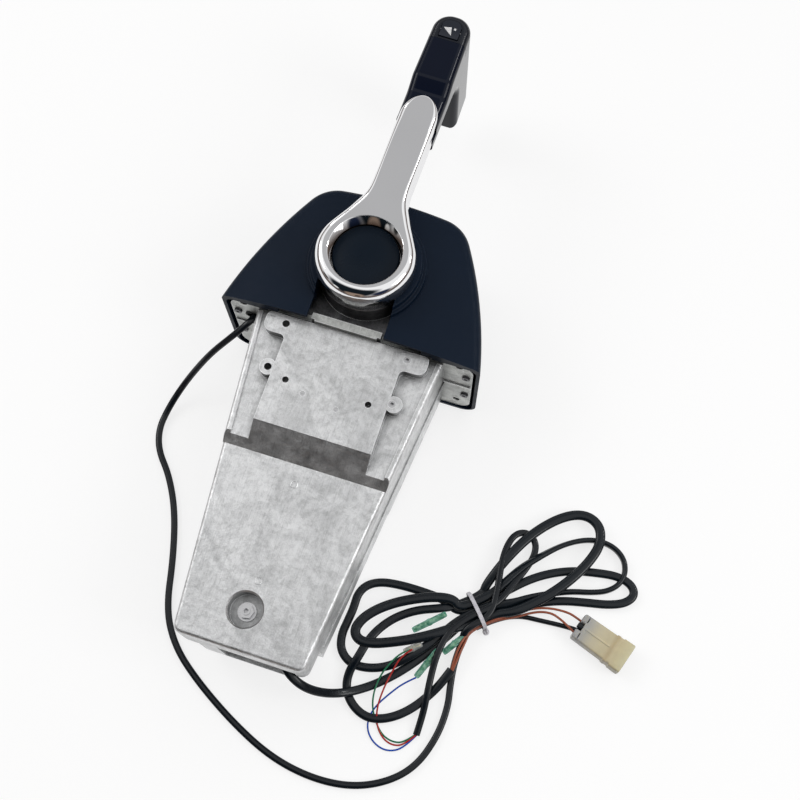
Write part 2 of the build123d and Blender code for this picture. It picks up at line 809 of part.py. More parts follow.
with BuildPart() as lower_stud:
    with BuildSketch(level(panel_far + 1)):
        with Locations((stud_x, -stud_drop)):
            Circle(stud_radius)
    extrude(amount=recess_floor + nut_height + 1 - panel_far - 1)
    with BuildSketch(level(recess_floor + nut_height + 1)):
        with Locations((stud_x, -stud_drop)):
            Circle(stud_radius * 0.62)
    extrude(amount=-nut_height, mode=Mode.SUBTRACT)
save(lower_stud.part, "lower_stud")
with BuildPart() as recess_nut:
    with BuildSketch(level(recess_floor)):
        with Locations((stud_x, -stud_drop)):
            RegularPolygon(nut_across_flats / 2, 6, major_radius=False, rotation=12)
            Circle(stud_radius + fit_gap, mode=Mode.SUBTRACT)
    extrude(amount=nut_height)
    with BuildSketch(level(recess_floor)):
        with Locations((stud_x, -stud_drop)):
            Circle(nut_across_flats * 0.72)
            Circle(stud_radius + fit_gap, mode=Mode.SUBTRACT)
    extrude(amount=1.2)
save(recess_nut.part, "recess_nut")

# ---------------------------------------------------------------- bearing frame
bush_radius = shaft_radius + bush_wall
spacer_radius = shaft_radius + 3
detent_seat = detent_radius + ball_radius + seat_gap
detent_boss_top = frame_arch + 11
bridge_level = frame_far + frame_wall
detent_mid = detent_level + detent_thickness / 2
friction_mid = (throttle_level + gear_face + shift_level) / 2


def upright(x, height, z):
    """Plane across the lever shaft's frame: origin at a height above the shaft, normal +Y."""
    return Plane(origin=(hub_x + x, hub_y + height, z), x_dir=(1, 0, 0), z_dir=(0, 1, 0))


with BuildPart() as bearing_frame:
    for wall_start in (frame_far, frame_near - frame_wall):
        with BuildSketch(hub_level(wall_start)):
            foot = plate_top - hub_rise
            with BuildLine():
                Polyline((-frame_half_width, foot), (frame_half_width, foot),
                         (frame_half_width, foot + 8), (frame_arch * 0.94, frame_arch * 0.35),
                         (-frame_arch * 0.94, frame_arch * 0.35), (-frame_half_width, foot + 8),
                         close=True)
            make_face()
            Circle(frame_arch)
        extrude(amount=frame_wall)
    with BuildSketch(upright(0, frame_arch - frame_bridge, (frame_far + frame_near) / 2)):
        Rectangle(frame_arch, frame_near - frame_far - frame_wall)
    extrude(amount=frame_bridge - 1)
    with BuildSketch(upright(0, frame_arch - frame_bridge, detent_mid)):
        Circle(ball_radius + 3)
    extrude(amount=detent_boss_top - frame_arch + frame_bridge)
    with BuildSketch(hub_level(frame_near)):
        Circle(boss_radius)
    extrude(amount=boss_top - frame_near)
    fillet(bearing_frame.edges().filter_by(GeomType.CIRCLE).group_by(Axis.Z)[-1], 1.5)
    with BuildSketch(hub_level(frame_far)):
        Circle(bush_radius + fit_gap)
    extrude(amount=boss_top, mode=Mode.SUBTRACT)
    with BuildSketch(upright(0, 0, detent_mid)):
        Circle(ball_radius + 0.1)
    extrude(amount=detent_boss_top + 1, mode=Mode.SUBTRACT)
    with BuildSketch(upright(0, 0, friction_mid)):
        Circle(friction_screw_radius + fit_gap)
    extrude(amount=frame_arch + 1, mode=Mode.SUBTRACT)
    with BuildSketch(above_deck(plate_top)):
        with Locations(*[(-hub_x + x, z) for x in (-frame_screw_x, frame_screw_x)
                         for z in frame_foot_z]):
            Circle(frame_screw_radius + fit_gap)
    extrude(amount=frame_screw_hole, mode=Mode.SUBTRACT)
save(bearing_frame.part, "bearing_frame")


def tube(plane, outer, inner, length):
    """Plain round tube from a plane along its normal."""
    with BuildPart() as ring:
        with BuildSketch(plane):
            Circle(outer)
            Circle(inner, mode=Mode.SUBTRACT)
        extrude(amount=length)
    return ring.part


save(tube(hub_level(frame_near - frame_wall), bush_radius, shaft_radius + running_gap,
          boss_top - frame_near + frame_wall), "near_bush")
save(tube(hub_level(frame_far), bush_radius, shaft_radius + running_gap, frame_wall), "far_bush")

# ---------------------------------------------------------------- lever shaft and what it carries
hub_bottom = boss_top + hub_disc_gap
shaft_far = frame_far - shaft_tail
shaft_near = hub_bottom + 4
key_spans = [(throttle_level, gear_face), (shift_level, gear_face), (detent_level, detent_thickness)]
with BuildPart() as lever_shaft:
    with BuildSketch(hub_level(shaft_far)):
        Circle(shaft_radius)
    extrude(amount=shaft_near - shaft_far)
    with BuildSketch(hub_level(shaft_far)):
        Circle(shaft_bore_radius)
    extrude(amount=shaft_near - shaft_far - 20, mode=Mode.SUBTRACT)
    with BuildSketch(hub_level(shaft_near)):
        Circle(hub_bolt_radius)
    extrude(amount=-14, mode=Mode.SUBTRACT)
    with BuildSketch(hub_level(frame_far - 1 - clip_thickness)):
        Circle(shaft_radius + 1)
        Circle(shaft_radius - 1, mode=Mode.SUBTRACT)
    extrude(amount=clip_thickness, mode=Mode.SUBTRACT)
    for key_start, key_length in key_spans:
        with BuildSketch(hub_level(key_start)):
            with Locations((0, shaft_radius)):
                Rectangle(key_width, 2 * key_depth)
        extrude(amount=key_length, mode=Mode.SUBTRACT)
save(lever_shaft.part, "lever_shaft")
with BuildPart() as shaft_keys:
    for key_start, key_length in key_spans:
        with BuildSketch(hub_level(key_start)):
            with Locations((0, shaft_radius)):
                Rectangle(key_width - 2 * fit_gap, 2 * key_depth - 2 * fit_gap)
        extrude(amount=key_length)
save(shaft_keys.part, "shaft_keys")
with BuildPart() as shaft_clip:
    with BuildSketch(hub_level(frame_far - 1 - clip_thickness)):
        Circle(shaft_radius + clip_width)
        Circle(shaft_radius - 1 + fit_gap, mode=Mode.SUBTRACT)
        with Locations((0, -shaft_radius)):
            Rectangle(6, 8, mode=Mode.SUBTRACT)
    extrude(amount=clip_thickness)
save(shaft_clip.part, "shaft_clip")


def involute(angle):
    """Involute function of a pressure angle in radians."""
    return tan(angle) - angle


def gear_outline(teeth, plane, first_tooth):
    """Spur gear outline; each flank is an involute drawn with straight steps.

    first_tooth is the angle in degrees of one tooth's middle line.
    """
    pitch = gear_module * teeth / 2
    base = pitch * cos(radians(pressure_angle))
    tip = pitch + 0.9 * gear_module
    root = pitch - 1.25 * gear_module
    half_at_pitch = pi / (2 * teeth) - tooth_backlash / (4 * pitch)
    flank = []
    for radius in (root, max(base, root + 0.3), pitch, (pitch + tip) / 2, tip):
        working = acos(min(base / radius, 1.0))
        flank.append((radius, half_at_pitch + involute(radians(pressure_angle)) - involute(working)))
    corners = []
    for tooth in range(teeth):
        middle = radians(first_tooth) + 2 * pi * tooth / teeth
        for radius, half in flank:
            corners.append((radius * cos(middle - half), radius * sin(middle - half)))
        for radius, half in reversed(flank):
            corners.append((radius * cos(middle + half), radius * sin(middle + half)))
    with BuildSketch(plane) as outline:
        with BuildLine():
            Polyline(*corners, close=True)
        make_face()
    return outline.sketch


def pinion(teeth, start):
    """Pinion keyed to the lever shaft, with a tooth gap facing straight down."""
    with BuildPart() as gear:
        add(gear_outline(teeth, hub_level(start), -90 + 180 / teeth))
        extrude(amount=gear_face)
        with BuildSketch(hub_level(start)):
            Circle(shaft_radius + fit_gap)
            with Locations((0, shaft_radius)):
                Rectangle(key_width, 2 * key_depth)
        extrude(amount=gear_face, mode=Mode.SUBTRACT)
    return gear.part


save(pinion(shift_pinion_teeth, shift_level), "shift_pinion")
save(pinion(throttle_pinion_teeth, throttle_level), "throttle_pinion")
with BuildPart() as detent_disc:
    with BuildSketch(hub_level(detent_level)):
        Circle(detent_radius)
        Circle(shaft_radius + fit_gap, mode=Mode.SUBTRACT)
        with Locations((0, shaft_radius)):
            Rectangle(key_width, 2 * key_depth, mode=Mode.SUBTRACT)
        with Locations((0, detent_radius + ball_radius * 0.4)):
            Circle(ball_radius, mode=Mode.SUBTRACT)
        with PolarLocations(detent_radius * 0.66, 6, 30):
            Circle(4, mode=Mode.SUBTRACT)
    extrude(amount=detent_thickness)
save(detent_disc.part, "detent_disc")
with BuildPart() as shaft_spacers:
    for start, end in ((frame_far + frame_wall + seat_gap, throttle_level),
                       (throttle_level + gear_face, shift_level),
                       (shift_level + gear_face, detent_level),
                       (detent_level + detent_thickness, frame_near - frame_wall - seat_gap)):
        with BuildSketch(hub_level(start)):
            Circle(spacer_radius)
            Circle(shaft_radius + fit_gap, mode=Mode.SUBTRACT)
        extrude(amount=end - start)
save(shaft_spacers.part, "shaft_spacers")

with BuildPart() as detent_ball:
    with Locations((hub_x, hub_y + detent_seat, detent_mid)):
        Sphere(ball_radius)
save(detent_ball.part, "detent_ball")
spring_foot = detent_seat + ball_radius + 0.1


def coil_spring(foot_centre, axis, radius, wire, pitch, height):
    """Compression spring from the middle of its lowest coil along an axis."""
    with BuildPart() as spring:
        with BuildLine():
            coil = Helix(pitch, height, radius, center=foot_centre, direction=axis)
        with BuildSketch(Plane(coil @ 0, z_dir=coil % 0)):
            RegularPolygon(wire, 6)
        sweep(path=coil, is_frenet=True)
    return spring.part


save(coil_spring((hub_x, hub_y + spring_foot + 0.6, detent_mid), (0, 1, 0), ball_radius - 0.8,
                 0.4, 1.6, 5.0), "detent_spring")
detent_plug_start = spring_foot + 6.4
save(round_pin([upright(0, detent_plug_start, detent_mid)], ball_radius,
               detent_boss_top + 1 - detent_plug_start), "detent_plug")
pad_start = spacer_radius + 0.1
save(round_pin([upright(0, pad_start, friction_mid)], friction_screw_radius + 1.5,
               friction_pad_thickness), "friction_pad")
save(socket_screws([Plane(origin=(hub_x, hub_y + pad_start + friction_pad_thickness
                                  + friction_screw_length + 6, friction_mid),
                          x_dir=(1, 0, 0), z_dir=(0, -1, 0))],
                   friction_screw_radius, friction_screw_length + 6, friction_screw_radius + 1.4, 3.0),
     "friction_screw")
with BuildPart() as friction_locknut:
    with BuildSketch(upright(0, frame_arch - 1, friction_mid)):
        RegularPolygon(friction_screw_radius * 1.7, 6, major_radius=False)
        Circle(friction_screw_radius + fit_gap, mode=Mode.SUBTRACT)
    extrude(amount=4)
save(friction_locknut.part, "friction_locknut")
switch_length, switch_height, switch_thickness = switch_size
with BuildPart() as neutral_switch:
    with BuildSketch(Plane(origin=(hub_x - detent_radius - 1.6, hub_y, 0), x_dir=(0, 1, 0),
                           z_dir=(-1, 0, 0))):
        with Locations((0, -(frame_near - frame_wall - switch_height / 2))):
            RectangleRounded(switch_length, switch_height, 0.8)
    extrude(amount=switch_thickness)
    with BuildSketch(Plane(origin=(hub_x - detent_radius - 0.4, hub_y, 0), x_dir=(0, 1, 0),
                           z_dir=(-1, 0, 0))):
        with Locations((0, -detent_mid)):
            Circle(1.2)
    extrude(amount=2)
save(neutral_switch.part, "neutral_switch")

# ---------------------------------------------------------------- arm shaft, sectors and arms
shift_hub = (shift_level - arm_hub_step, gear_face + 2 * arm_hub_step)
throttle_hub = (throttle_level - arm_hub_step, gear_face + 2 * arm_hub_step)
arm_hub_radius = arm_shaft_radius + arm_hub_wall
with BuildPart() as arm_shaft:
    with BuildSketch(arm_level_plane(arm_shaft_far + seat_gap)):
        Circle(arm_shaft_radius)
    extrude(amount=arm_shaft_near - arm_shaft_far - 2 * seat_gap)
    chamfer(arm_shaft.edges().filter_by(GeomType.CIRCLE), 0.8)
save(arm_shaft.part, "arm_shaft")
with BuildPart() as arm_spacers:
    for start, end in ((pad_far + housing_wall + pad_step + seat_gap, throttle_hub[0] - seat_gap),
                       (throttle_hub[0] + throttle_hub[1] + seat_gap, shift_hub[0] - seat_gap),
                       (shift_hub[0] + shift_hub[1] + seat_gap,
                        pad_near - housing_wall - pad_step - seat_gap)):
        with BuildSketch(arm_level_plane(start)):
            Circle(arm_shaft_radius + 2.5)
            Circle(arm_shaft_radius + fit_gap, mode=Mode.SUBTRACT)
        extrude(amount=end - start)
save(arm_spacers.part, "arm_spacers")


def control_arm(teeth, start, span, length, pin_side):
    """Toothed sector, hub and cable arm in one piece; the sector faces up and the arm down."""
    pitch = gear_module * teeth / 2
    side = radians(90 - span)
    with BuildPart() as arm:
        add(gear_outline(teeth, arm_level_plane(start), 90))
        extrude(amount=gear_face)
        with BuildSketch(arm_level_plane(start)):
            with BuildLine():
                Polyline((0, 0), (2 * pitch * cos(side), 2 * pitch * sin(side)), (0, 6 * pitch),
                         (-2 * pitch * cos(side), 2 * pitch * sin(side)), close=True)
            make_face()
        extrude(amount=gear_face, mode=Mode.INTERSECT)
        with BuildSketch(arm_level_plane(start)):
            Circle(pitch - 1.25 * gear_module - sector_rim)
        extrude(amount=gear_face, mode=Mode.SUBTRACT)
        with BuildSketch(arm_level_plane(start)):
            with BuildLine():
                foot = arm_hub_radius * 0.9
                top = pitch - 1.25 * gear_module - sector_rim / 2
                reach = top * sin(radians(span * 0.62)), top * cos(radians(span * 0.62))
                Polyline((-foot, 0), (foot, 0), reach, (0, top), (-reach[0], reach[1]), close=True)
            make_face()
            with BuildLine():
                Polyline((-arm_width * 0.62, 0), (arm_width * 0.62, 0), (arm_width / 2, -length),
                         (-arm_width / 2, -length), close=True)
            make_face()
            with Locations((0, -length)):
                Circle(arm_width / 2)
            with Locations(*[(side * top * 0.3, top * 0.62) for side in (-1, 1)]):
                Circle(top * 0.16, mode=Mode.SUBTRACT)
        extrude(amount=gear_face)
        with BuildSketch(arm_level_plane(start - arm_hub_step)):
            Circle(arm_hub_radius)
        extrude(amount=gear_face + 2 * arm_hub_step)
        pin_foot = start + gear_face if pin_side > 0 else start
        with BuildSketch(arm_level_plane(pin_foot)):
            with Locations((0, -length)):
                Circle(arm_pin_radius)
        extrude(amount=pin_side * arm_pin_length)
        with BuildSketch(arm_level_plane(pin_foot + pin_side * (arm_pin_length - arm_pin_groove_inset))):
            with Locations((0, -length)):
                Circle(arm_pin_radius + 1)
                Circle(arm_pin_radius - arm_pin_groove_depth, mode=Mode.SUBTRACT)
        extrude(amount=pin_side * arm_pin_groove, mode=Mode.SUBTRACT)
        with BuildSketch(arm_level_plane(start - arm_hub_step)):
            Circle(arm_shaft_radius + running_gap)
        extrude(amount=gear_face + 2 * arm_hub_step, mode=Mode.SUBTRACT)
    return arm.part


save(control_arm(shift_sector_teeth, shift_level, shift_sector_span, shift_arm_length, 1), "shift_arm")
save(control_arm(throttle_sector_teeth, throttle_level, throttle_sector_span, throttle_arm_length, -1),
     "throttle_arm")

# ---------------------------------------------------------------- lever stem, the load-carrying core
with BuildPart() as lever_stem:
    with BuildSketch(lever_plane(hub_bottom)):
        Circle(hub_disc_radius)
    extrude(amount=flange_level - hub_bottom)
    with BuildSketch(lever_plane(flange_level)):
        Circle(flange_radius)
        with Locations((0, (flange_radius + stem_start) / 2)):
            Rectangle(2 * neck_half_width - 1, stem_start - flange_radius + 12)
    extrude(amount=ring_level - flange_level)
    with BuildSketch(lever_plane(stem_level)):
        with Locations((0, (stem_start + grip_start) / 2 - 0.05)):
            Rectangle(2 * stem_half_width - 1, grip_start - stem_start - 0.1)
    extrude(amount=arm_level - stem_level)
    fillet(lever_stem.edges().filter_by(lambda edge: abs(edge.center().Z - stem_level) < 0.01
                                        and edge.length > 40), 2.0)
    with BuildSketch(lever_plane(arm_level - core_thickness)):
        with Locations((0, (grip_start + stem_reach) / 2 - 2)):
            Rectangle(2 * core_half_width, stem_reach - grip_start + 4)
    extrude(amount=core_thickness)
    with BuildSketch(lever_plane(well_floor)):
        Circle(ring_bore)
    extrude(amount=2 * core_thickness, mode=Mode.SUBTRACT)
    with BuildSketch(lever_plane(hub_bottom)):
        Circle(shaft_radius + fit_gap)
    extrude(amount=shaft_near - hub_bottom, mode=Mode.SUBTRACT)
    with BuildSketch(lever_plane(hub_bottom)):
        Circle(hub_bolt_radius + fit_gap)
    extrude(amount=well_floor, mode=Mode.SUBTRACT)
    for reach in arm_screw_reach:
        with BuildSketch(lever_plane(stem_level)):
            with Locations((0, reach)):
                Circle(arm_screw_radius + fit_gap)
        extrude(amount=arm_level, mode=Mode.SUBTRACT)
        with BuildSketch(lever_plane(stem_level)):
            with Locations((0, reach)):
                Circle(arm_screw_head + seat_gap)
        extrude(amount=arm_screw_head_height + seat_gap, mode=Mode.SUBTRACT)
    with BuildSketch(lever_side().offset(-core_half_width - 1)):
        with Locations((grip_pin_reach, arm_level - core_thickness / 2)):
            Circle(grip_pin_radius + fit_gap)
    extrude(amount=2 * core_half_width + 2, mode=Mode.SUBTRACT)
save(lever_stem.part, "lever_stem")
save(socket_screws([Plane(origin=(hub_x, hub_y, well_floor + hub_washer_thickness),
                          x_dir=(1, 0, 0), z_dir=(0, 0, -1))],
                   hub_bolt_radius - fit_gap, hub_bolt_length, hub_bolt_head, hub_bolt_head_height),
     "hub_bolt")
save(tube(hub_level(well_floor), hub_washer_radius, hub_bolt_radius + fit_gap, hub_washer_thickness),
     "hub_washer")

# ---------------------------------------------------------------- chrome ring and arm
arm_full = tongue_reach - tongue_half_width


def arm_outline(grow):
    """Chrome arm seen from the lever side, from the hub out to its round tongue."""
    with BuildSketch(lever_plane(arm_level)) as outline:
        with BuildLine():
            left = [(-x - grow, y) for x, y in (*neck_flare, (tongue_half_width, arm_full))]
            Spline(*left)
            ThreePointArc(left[-1], (0, tongue_reach + grow), (-left[-1][0], arm_full))
            Spline(*[(-x, y) for x, y in reversed(left)])
            Line((-left[0][0], left[0][1]), left[0])
        make_face()
        with Locations((0, flat_offset)):
            Circle(flat_radius + grow)
    return outline.sketch


with BuildPart() as arm_bar:
    add(arm_outline(0))
    extrude(amount=lever_face - arm_level)
    fillet(arm_bar.faces().sort_by(Axis.Z)[-1].edges(), arm_edge)
with BuildPart() as lever_arm:
    with BuildSketch(lever_side()):
        with BuildLine():
            Polyline((ring_bore, ring_level), (ring_radius, ring_level), (ring_radius, ring_shoulder))
            ThreePointArc((ring_radius, ring_shoulder), (ring_radius - 2.1, lever_face - 3.2),
                          (ring_bore + ring_flat, lever_face))
            Polyline((ring_bore + ring_flat, lever_face), (ring_bore, lever_face),
                     (ring_bore, ring_level))
        make_face()
    revolve(axis=Axis((hub_x, hub_y, 0), (0, 0, 1)))
    add(arm_bar.part)
    with BuildSketch(lever_plane(ring_level)):
        Circle(ring_bore)
    extrude(amount=lever_face, mode=Mode.SUBTRACT)
    # long groove in each flank
    flank_plane = Plane(origin=lever_plane(0).from_local_coords((0, groove_start, 0)),
                        x_dir=lever_plane(0).x_dir, z_dir=lever_plane(0).y_dir)
    with BuildSketch(flank_plane):
        with Locations(*[(side * (stem_half_width + 1.2), -groove_level) for side in (-1, 1)]):
            Circle(flank_groove)
    extrude(amount=groove_length, mode=Mode.SUBTRACT)
    for reach in arm_screw_reach:
        with BuildSketch(lever_plane(arm_level)):
            with Locations((0, reach)):
                Circle(arm_screw_radius + fit_gap)
        extrude(amount=arm_screw_grip, mode=Mode.SUBTRACT)
save(lever_arm.part, "lever_arm")
screw_plane = lever_plane(stem_level + arm_screw_head_height)
save(socket_screws([Plane(origin=screw_plane.from_local_coords((0, reach, 0)), x_dir=(1, 0, 0),
                          z_dir=(0, 0, 1)) for reach in arm_screw_reach],
                   arm_screw_radius, arm_level - stem_level - arm_screw_head_height
                   + arm_screw_grip - seat_gap, arm_screw_head, arm_screw_head_height), "arm_screws")

# ---------------------------------------------------------------- grip
bar_start = tip_reach - palm_depth + 1


def grip_plan():
    """Grip seen from the lever side: it narrows a little to a round tip."""
    with BuildPart() as plan:
        with BuildSketch(lever_plane(palm_far - 1)) as outline:
            with BuildLine():
                Polyline((-grip_half_width, grip_start - 1), (-grip_half_width, grip_face_end),
                         (-grip_tip_half_width, tip_reach), (grip_tip_half_width, tip_reach),
                         (grip_half_width, grip_face_end), (grip_half_width, grip_start - 1), close=True)
            make_face()
            fillet(outline.vertices().group_by(Axis.Y)[-1], grip_tip_round)
        extrude(amount=grip_front - palm_far + 2)
    return plan.part


def grip_form():
    """Solid grip: stem, sweeping bend and palm bar that reaches back over the dome."""
    across = Vector(*lever_side().z_dir)
    with BuildPart() as form:
        with BuildSketch(lever_side().offset(-grip_half_width - 1)) as profile:
            with BuildLine():
                Polyline((grip_start, stem_level), (grip_start, grip_stem_face),
                         (grip_face_start, grip_stem_face), (grip_face_end, grip_front),
                         (tip_reach, grip_front), (tip_reach, palm_far), (bar_start, palm_far),
                         (bar_start, stem_level), close=True)
            make_face()
            fillet(profile.vertices().filter_by(
                lambda corner: abs(corner.Y - stem_level) < 0.1 and corner.X > grip_start + 20),
                grip_blend)
            fillet(profile.vertices().filter_by(
                lambda corner: corner.Y > grip_stem_face - 1
                and grip_start + 5 < corner.X < tip_reach - 20), grip_face_round)
        extrude(amount=2 * grip_half_width + 2)
        add(grip_plan(), mode=Mode.INTERSECT)
        sides = form.faces().filter_by(
            lambda face: abs(face.normal_at().Z) < 0.05
            and (abs(face.normal_at().dot(across)) > 0.05
                 or face.center().Y > hub_y + tip_reach - grip_edge))
        rims = [edge for edge in sides.edges() if edge.center().Y > hub_y + grip_start + 1
                and sum(edge.wrapped.IsSame(other.wrapped) for other in sides.edges()) == 1]
        fillet(rims, grip_edge)
    return form.part


grip_solid = grip_form()
cap_line = tip_reach - cap_length
cap_mid = (cap_line + tip_reach) / 2


def cap_block(grow):
    """Block that holds the cap: everything beyond the parting line, on the lever side."""
    with BuildPart() as block:
        with BuildSketch(lever_plane(grip_front - cap_depth - grow)):
            with Locations((0, cap_line - grow + cap_length)):
                Rectangle(4 * grip_half_width, 2 * cap_length)
        extrude(amount=2 * cap_depth)
    return block.part


with BuildPart() as grip_body:
    add(grip_solid)
    add(cap_block(cap_gap), mode=Mode.SUBTRACT)
    # pocket for the chrome tongue and socket for the lever's core
    add(arm_outline(tongue_gap))
    extrude(amount=grip_front, mode=Mode.SUBTRACT)
    with BuildSketch(lever_plane(arm_level - core_thickness - fit_gap)):
        with Locations((0, (grip_start + stem_reach) / 2 - 2)):
            Rectangle(2 * (core_half_width + fit_gap), stem_reach - grip_start + 4 + 2 * seat_gap)
    extrude(amount=core_thickness + 2 * fit_gap, mode=Mode.SUBTRACT)
    with BuildSketch(lever_side().offset(-grip_pin_half)):
        with Locations((grip_pin_reach, arm_level - core_thickness / 2)):
            Circle(grip_pin_radius + fit_gap)
    extrude(amount=2 * grip_pin_half, mode=Mode.SUBTRACT)
    with BuildSketch(lever_plane(grip_front - cap_depth - cap_gap)):
        with Locations(*[(side * cap_pin_x, cap_mid) for side in (-1, 1)]):
            Circle(cap_pin_radius + fit_gap)
    extrude(amount=-cap_pin_half, mode=Mode.SUBTRACT)
save(grip_body.part, "grip_body")
rocker_y = cap_line + 1.6 + rocker_gap + rocker_length / 2
rocker_floor = grip_front - rocker_depth - 1.4
rocker_pivot = grip_front - rocker_depth / 2
with BuildPart() as grip_cap:
    add(grip_solid)
    add(cap_block(0), mode=Mode.INTERSECT)
    with BuildSketch(lever_plane(rocker_floor)) as pocket:
        with Locations((0, rocker_y)):
            Rectangle(rocker_width + 2 * rocker_gap, rocker_length + 2 * rocker_gap)
        fillet(pocket.vertices().group_by(Axis.Y)[-1], rocker_tip_round + rocker_gap)
        fillet(pocket.vertices().group_by(Axis.Y)[0], rocker_pocket_round)
    extrude(amount=grip_front, mode=Mode.SUBTRACT)
    with BuildSketch(lever_side().offset(-rocker_width / 2 - 4)):
        with Locations((rocker_y, rocker_pivot)):
            Circle(rocker_pin_radius + fit_gap)
    extrude(amount=rocker_width + 8, mode=Mode.SUBTRACT)
    with BuildSketch(lever_plane(grip_front - cap_depth)):
        with Locations(*[(side * cap_pin_x, cap_mid) for side in (-1, 1)]):
            Circle(cap_pin_radius + fit_gap)
    extrude(amount=cap_pin_half, mode=Mode.SUBTRACT)
save(grip_cap.part, "grip_cap")
with BuildPart() as trim_rocker:
    with BuildSketch(lever_side().offset(-rocker_width / 2)) as rocker_section:
        with BuildLine():
            half = rocker_length / 2
            Polyline((rocker_y - half, grip_front - rocker_depth + 1),
                     (rocker_y - half, grip_front + rocker_proud - 0.4))
            ThreePointArc((rocker_y - half, grip_front + rocker_proud - 0.4),
                          (rocker_y, grip_front + 0.3), (rocker_y + half, grip_front + rocker_proud - 0.4))
            Polyline((rocker_y + half, grip_front + rocker_proud - 0.4),
                     (rocker_y + half, grip_front - rocker_depth + 1),
                     (rocker_y + 2, grip_front - rocker_depth), (rocker_y - 2, grip_front - rocker_depth),
                     (rocker_y - half, grip_front - rocker_depth + 1))
        make_face()
    extrude(amount=rocker_width)
    with BuildSketch(lever_plane(rocker_floor)) as rocker_plan:
        with Locations((0, rocker_y)):
            Rectangle(rocker_width + 2 * rocker_gap, rocker_length)
        fillet(rocker_plan.vertices().group_by(Axis.Y)[-1], rocker_tip_round + rocker_gap)
    extrude(amount=2 * rocker_width, mode=Mode.INTERSECT)
    with BuildSketch(lever_side().offset(-rocker_width)):
        with Locations((rocker_y, rocker_pivot)):
            Circle(rocker_pin_radius + running_gap)
    extrude(amount=2 * rocker_width, mode=Mode.SUBTRACT)
save(trim_rocker.part, "trim_rocker")
rocker_axle = lever_side().offset(-rocker_width / 2 - 3.8)
save(round_pin([Plane(origin=rocker_axle.from_local_coords((rocker_y, rocker_pivot, 0)),
                      x_dir=rocker_axle.x_dir, z_dir=rocker_axle.z_dir)],
               rocker_pin_radius, rocker_width + 7.6), "rocker_pin")
pin_axle = lever_side().offset(-grip_pin_half + 0.2)
save(round_pin([Plane(origin=pin_axle.from_local_coords((grip_pin_reach, arm_level - core_thickness / 2, 0)),
                      x_dir=pin_axle.x_dir, z_dir=pin_axle.z_dir)],
               grip_pin_radius, 2 * grip_pin_half - 0.4), "grip_pin")
cap_pin_plane = lever_plane(grip_front - cap_depth - cap_pin_half)
save(round_pin([Plane(origin=cap_pin_plane.from_local_coords((side * cap_pin_x, cap_mid, 0)))
                for side in (-1, 1)], cap_pin_radius, 2 * cap_pin_half - 0.4), "cap_pins")

# ---------------------------------------------------------------- button in the hub
def crown_points(radius, foot, crown):
    """Crown's top on the axis, a point half way out and its foot, all on one sphere."""
    sphere = (radius ** 2 + crown ** 2) / (2 * crown)
    centre = foot + crown - sphere
    return (0, foot + crown), (radius / 2, centre + sqrt(sphere ** 2 - radius ** 2 / 4)), (radius, foot)


with BuildPart() as hub_button:
    with BuildSketch(lever_side()):
        with BuildLine():
            ThreePointArc(*crown_points(button_radius - 2, button_rim, button_crown))
            ThreePointArc((button_radius - 2, button_rim),
                          (button_radius - 0.6, button_rim - 0.6), (button_radius, button_rim - 2))
            Polyline((button_radius, button_rim - 2), (button_radius, button_foot),
                     (button_radius - button_wall, button_foot),
                     (button_radius - button_wall, button_rim - button_wall))
            ThreePointArc(*crown_points(button_radius - button_wall, button_rim - button_wall,
                                        button_crown))
            Line((0, button_rim + button_crown - button_wall), (0, button_rim + button_crown))
        make_face()
    revolve(axis=Axis((hub_x, hub_y, 0), (0, 0, 1)))
save(hub_button.part, "hub_button")
spring_roof = button_rim - button_wall + button_crown * (1 - (spring_radius / button_radius) ** 2)
spring_height = spring_roof - well_floor - 2 * spring_wire - seat_gap
save(coil_spring((hub_x, hub_y, well_floor + spring_wire), (0, 0, 1), spring_radius, spring_wire,
                 spring_height / spring_turns, spring_height), "button_spring")

# ---------------------------------------------------------------- leads
tube_report = []


def lead_path(points):
    """Straight runs joined by arcs that just fit each corner."""
    radii = []
    for before, corner, after in zip(points, points[1:], points[2:]):
        run_in = Vector(*corner) - Vector(*before)
        run_out = Vector(*after) - Vector(*corner)
        turn = radians(run_in.get_angle(run_out))
        radii.append(0.45 * min(run_in.length, run_out.length) / tan(turn / 2))
    with BuildLine() as path:
        FilletPolyline(*points, radius=radii)
    return path.wire(), radii


def lead(name, points, diameter):
    """Round lead along the path; its radii and volume go to the report."""
    path, radii = lead_path(points)
    with BuildPart() as run:
        with BuildSketch(Plane(path @ 0, z_dir=path % 0)):
            Circle(diameter / 2)
        sweep(path=path)
    expected = pi * diameter ** 2 / 4 * path.length
    tube_report.append((name, diameter, path.length, min(radii), run.part.volume / expected))
    return run.part


trim_points = [(trim_hole_x, 3, trim_hole_z), (trim_hole_x, -11, trim_hole_z), (-90, -24, 69),
               (-99, -34, 58), (-113, -44.5, 42.5), (-126, -57, 26), (-136, -71, 12.5), (-141.5, -88, 5.2), (-143, -106, 3), (-136, -124, 3),
               (-120, -141, 3), (-104, -168, 3), (-91, -205, 3), (-81, -246, 3), (-64, -271, 3),
               (-39, -290, 3), (-1, -311.5, 3), (37, -327.5, 3), (72, -333, 3), (104, -330, 3),
               (130, -318, 3), (148, -300, 3), (157, -274, 3), (158, -246, 3.5), (154, -222, 5)]
save(lead("trim_lead", trim_points, lead_diameter), "trim_lead")
harness_points = [(17, -246, 46), (30, -262.5, 45.5), (44, -271, 40), (58, -272, 27), (74, -267, 12),
                  (92, -256, 4.5), (109, -238, 3.6), (124, -219, 5), (137, -204, 8)]
save(lead("main_harness", harness_points, harness_diameter), "main_harness")
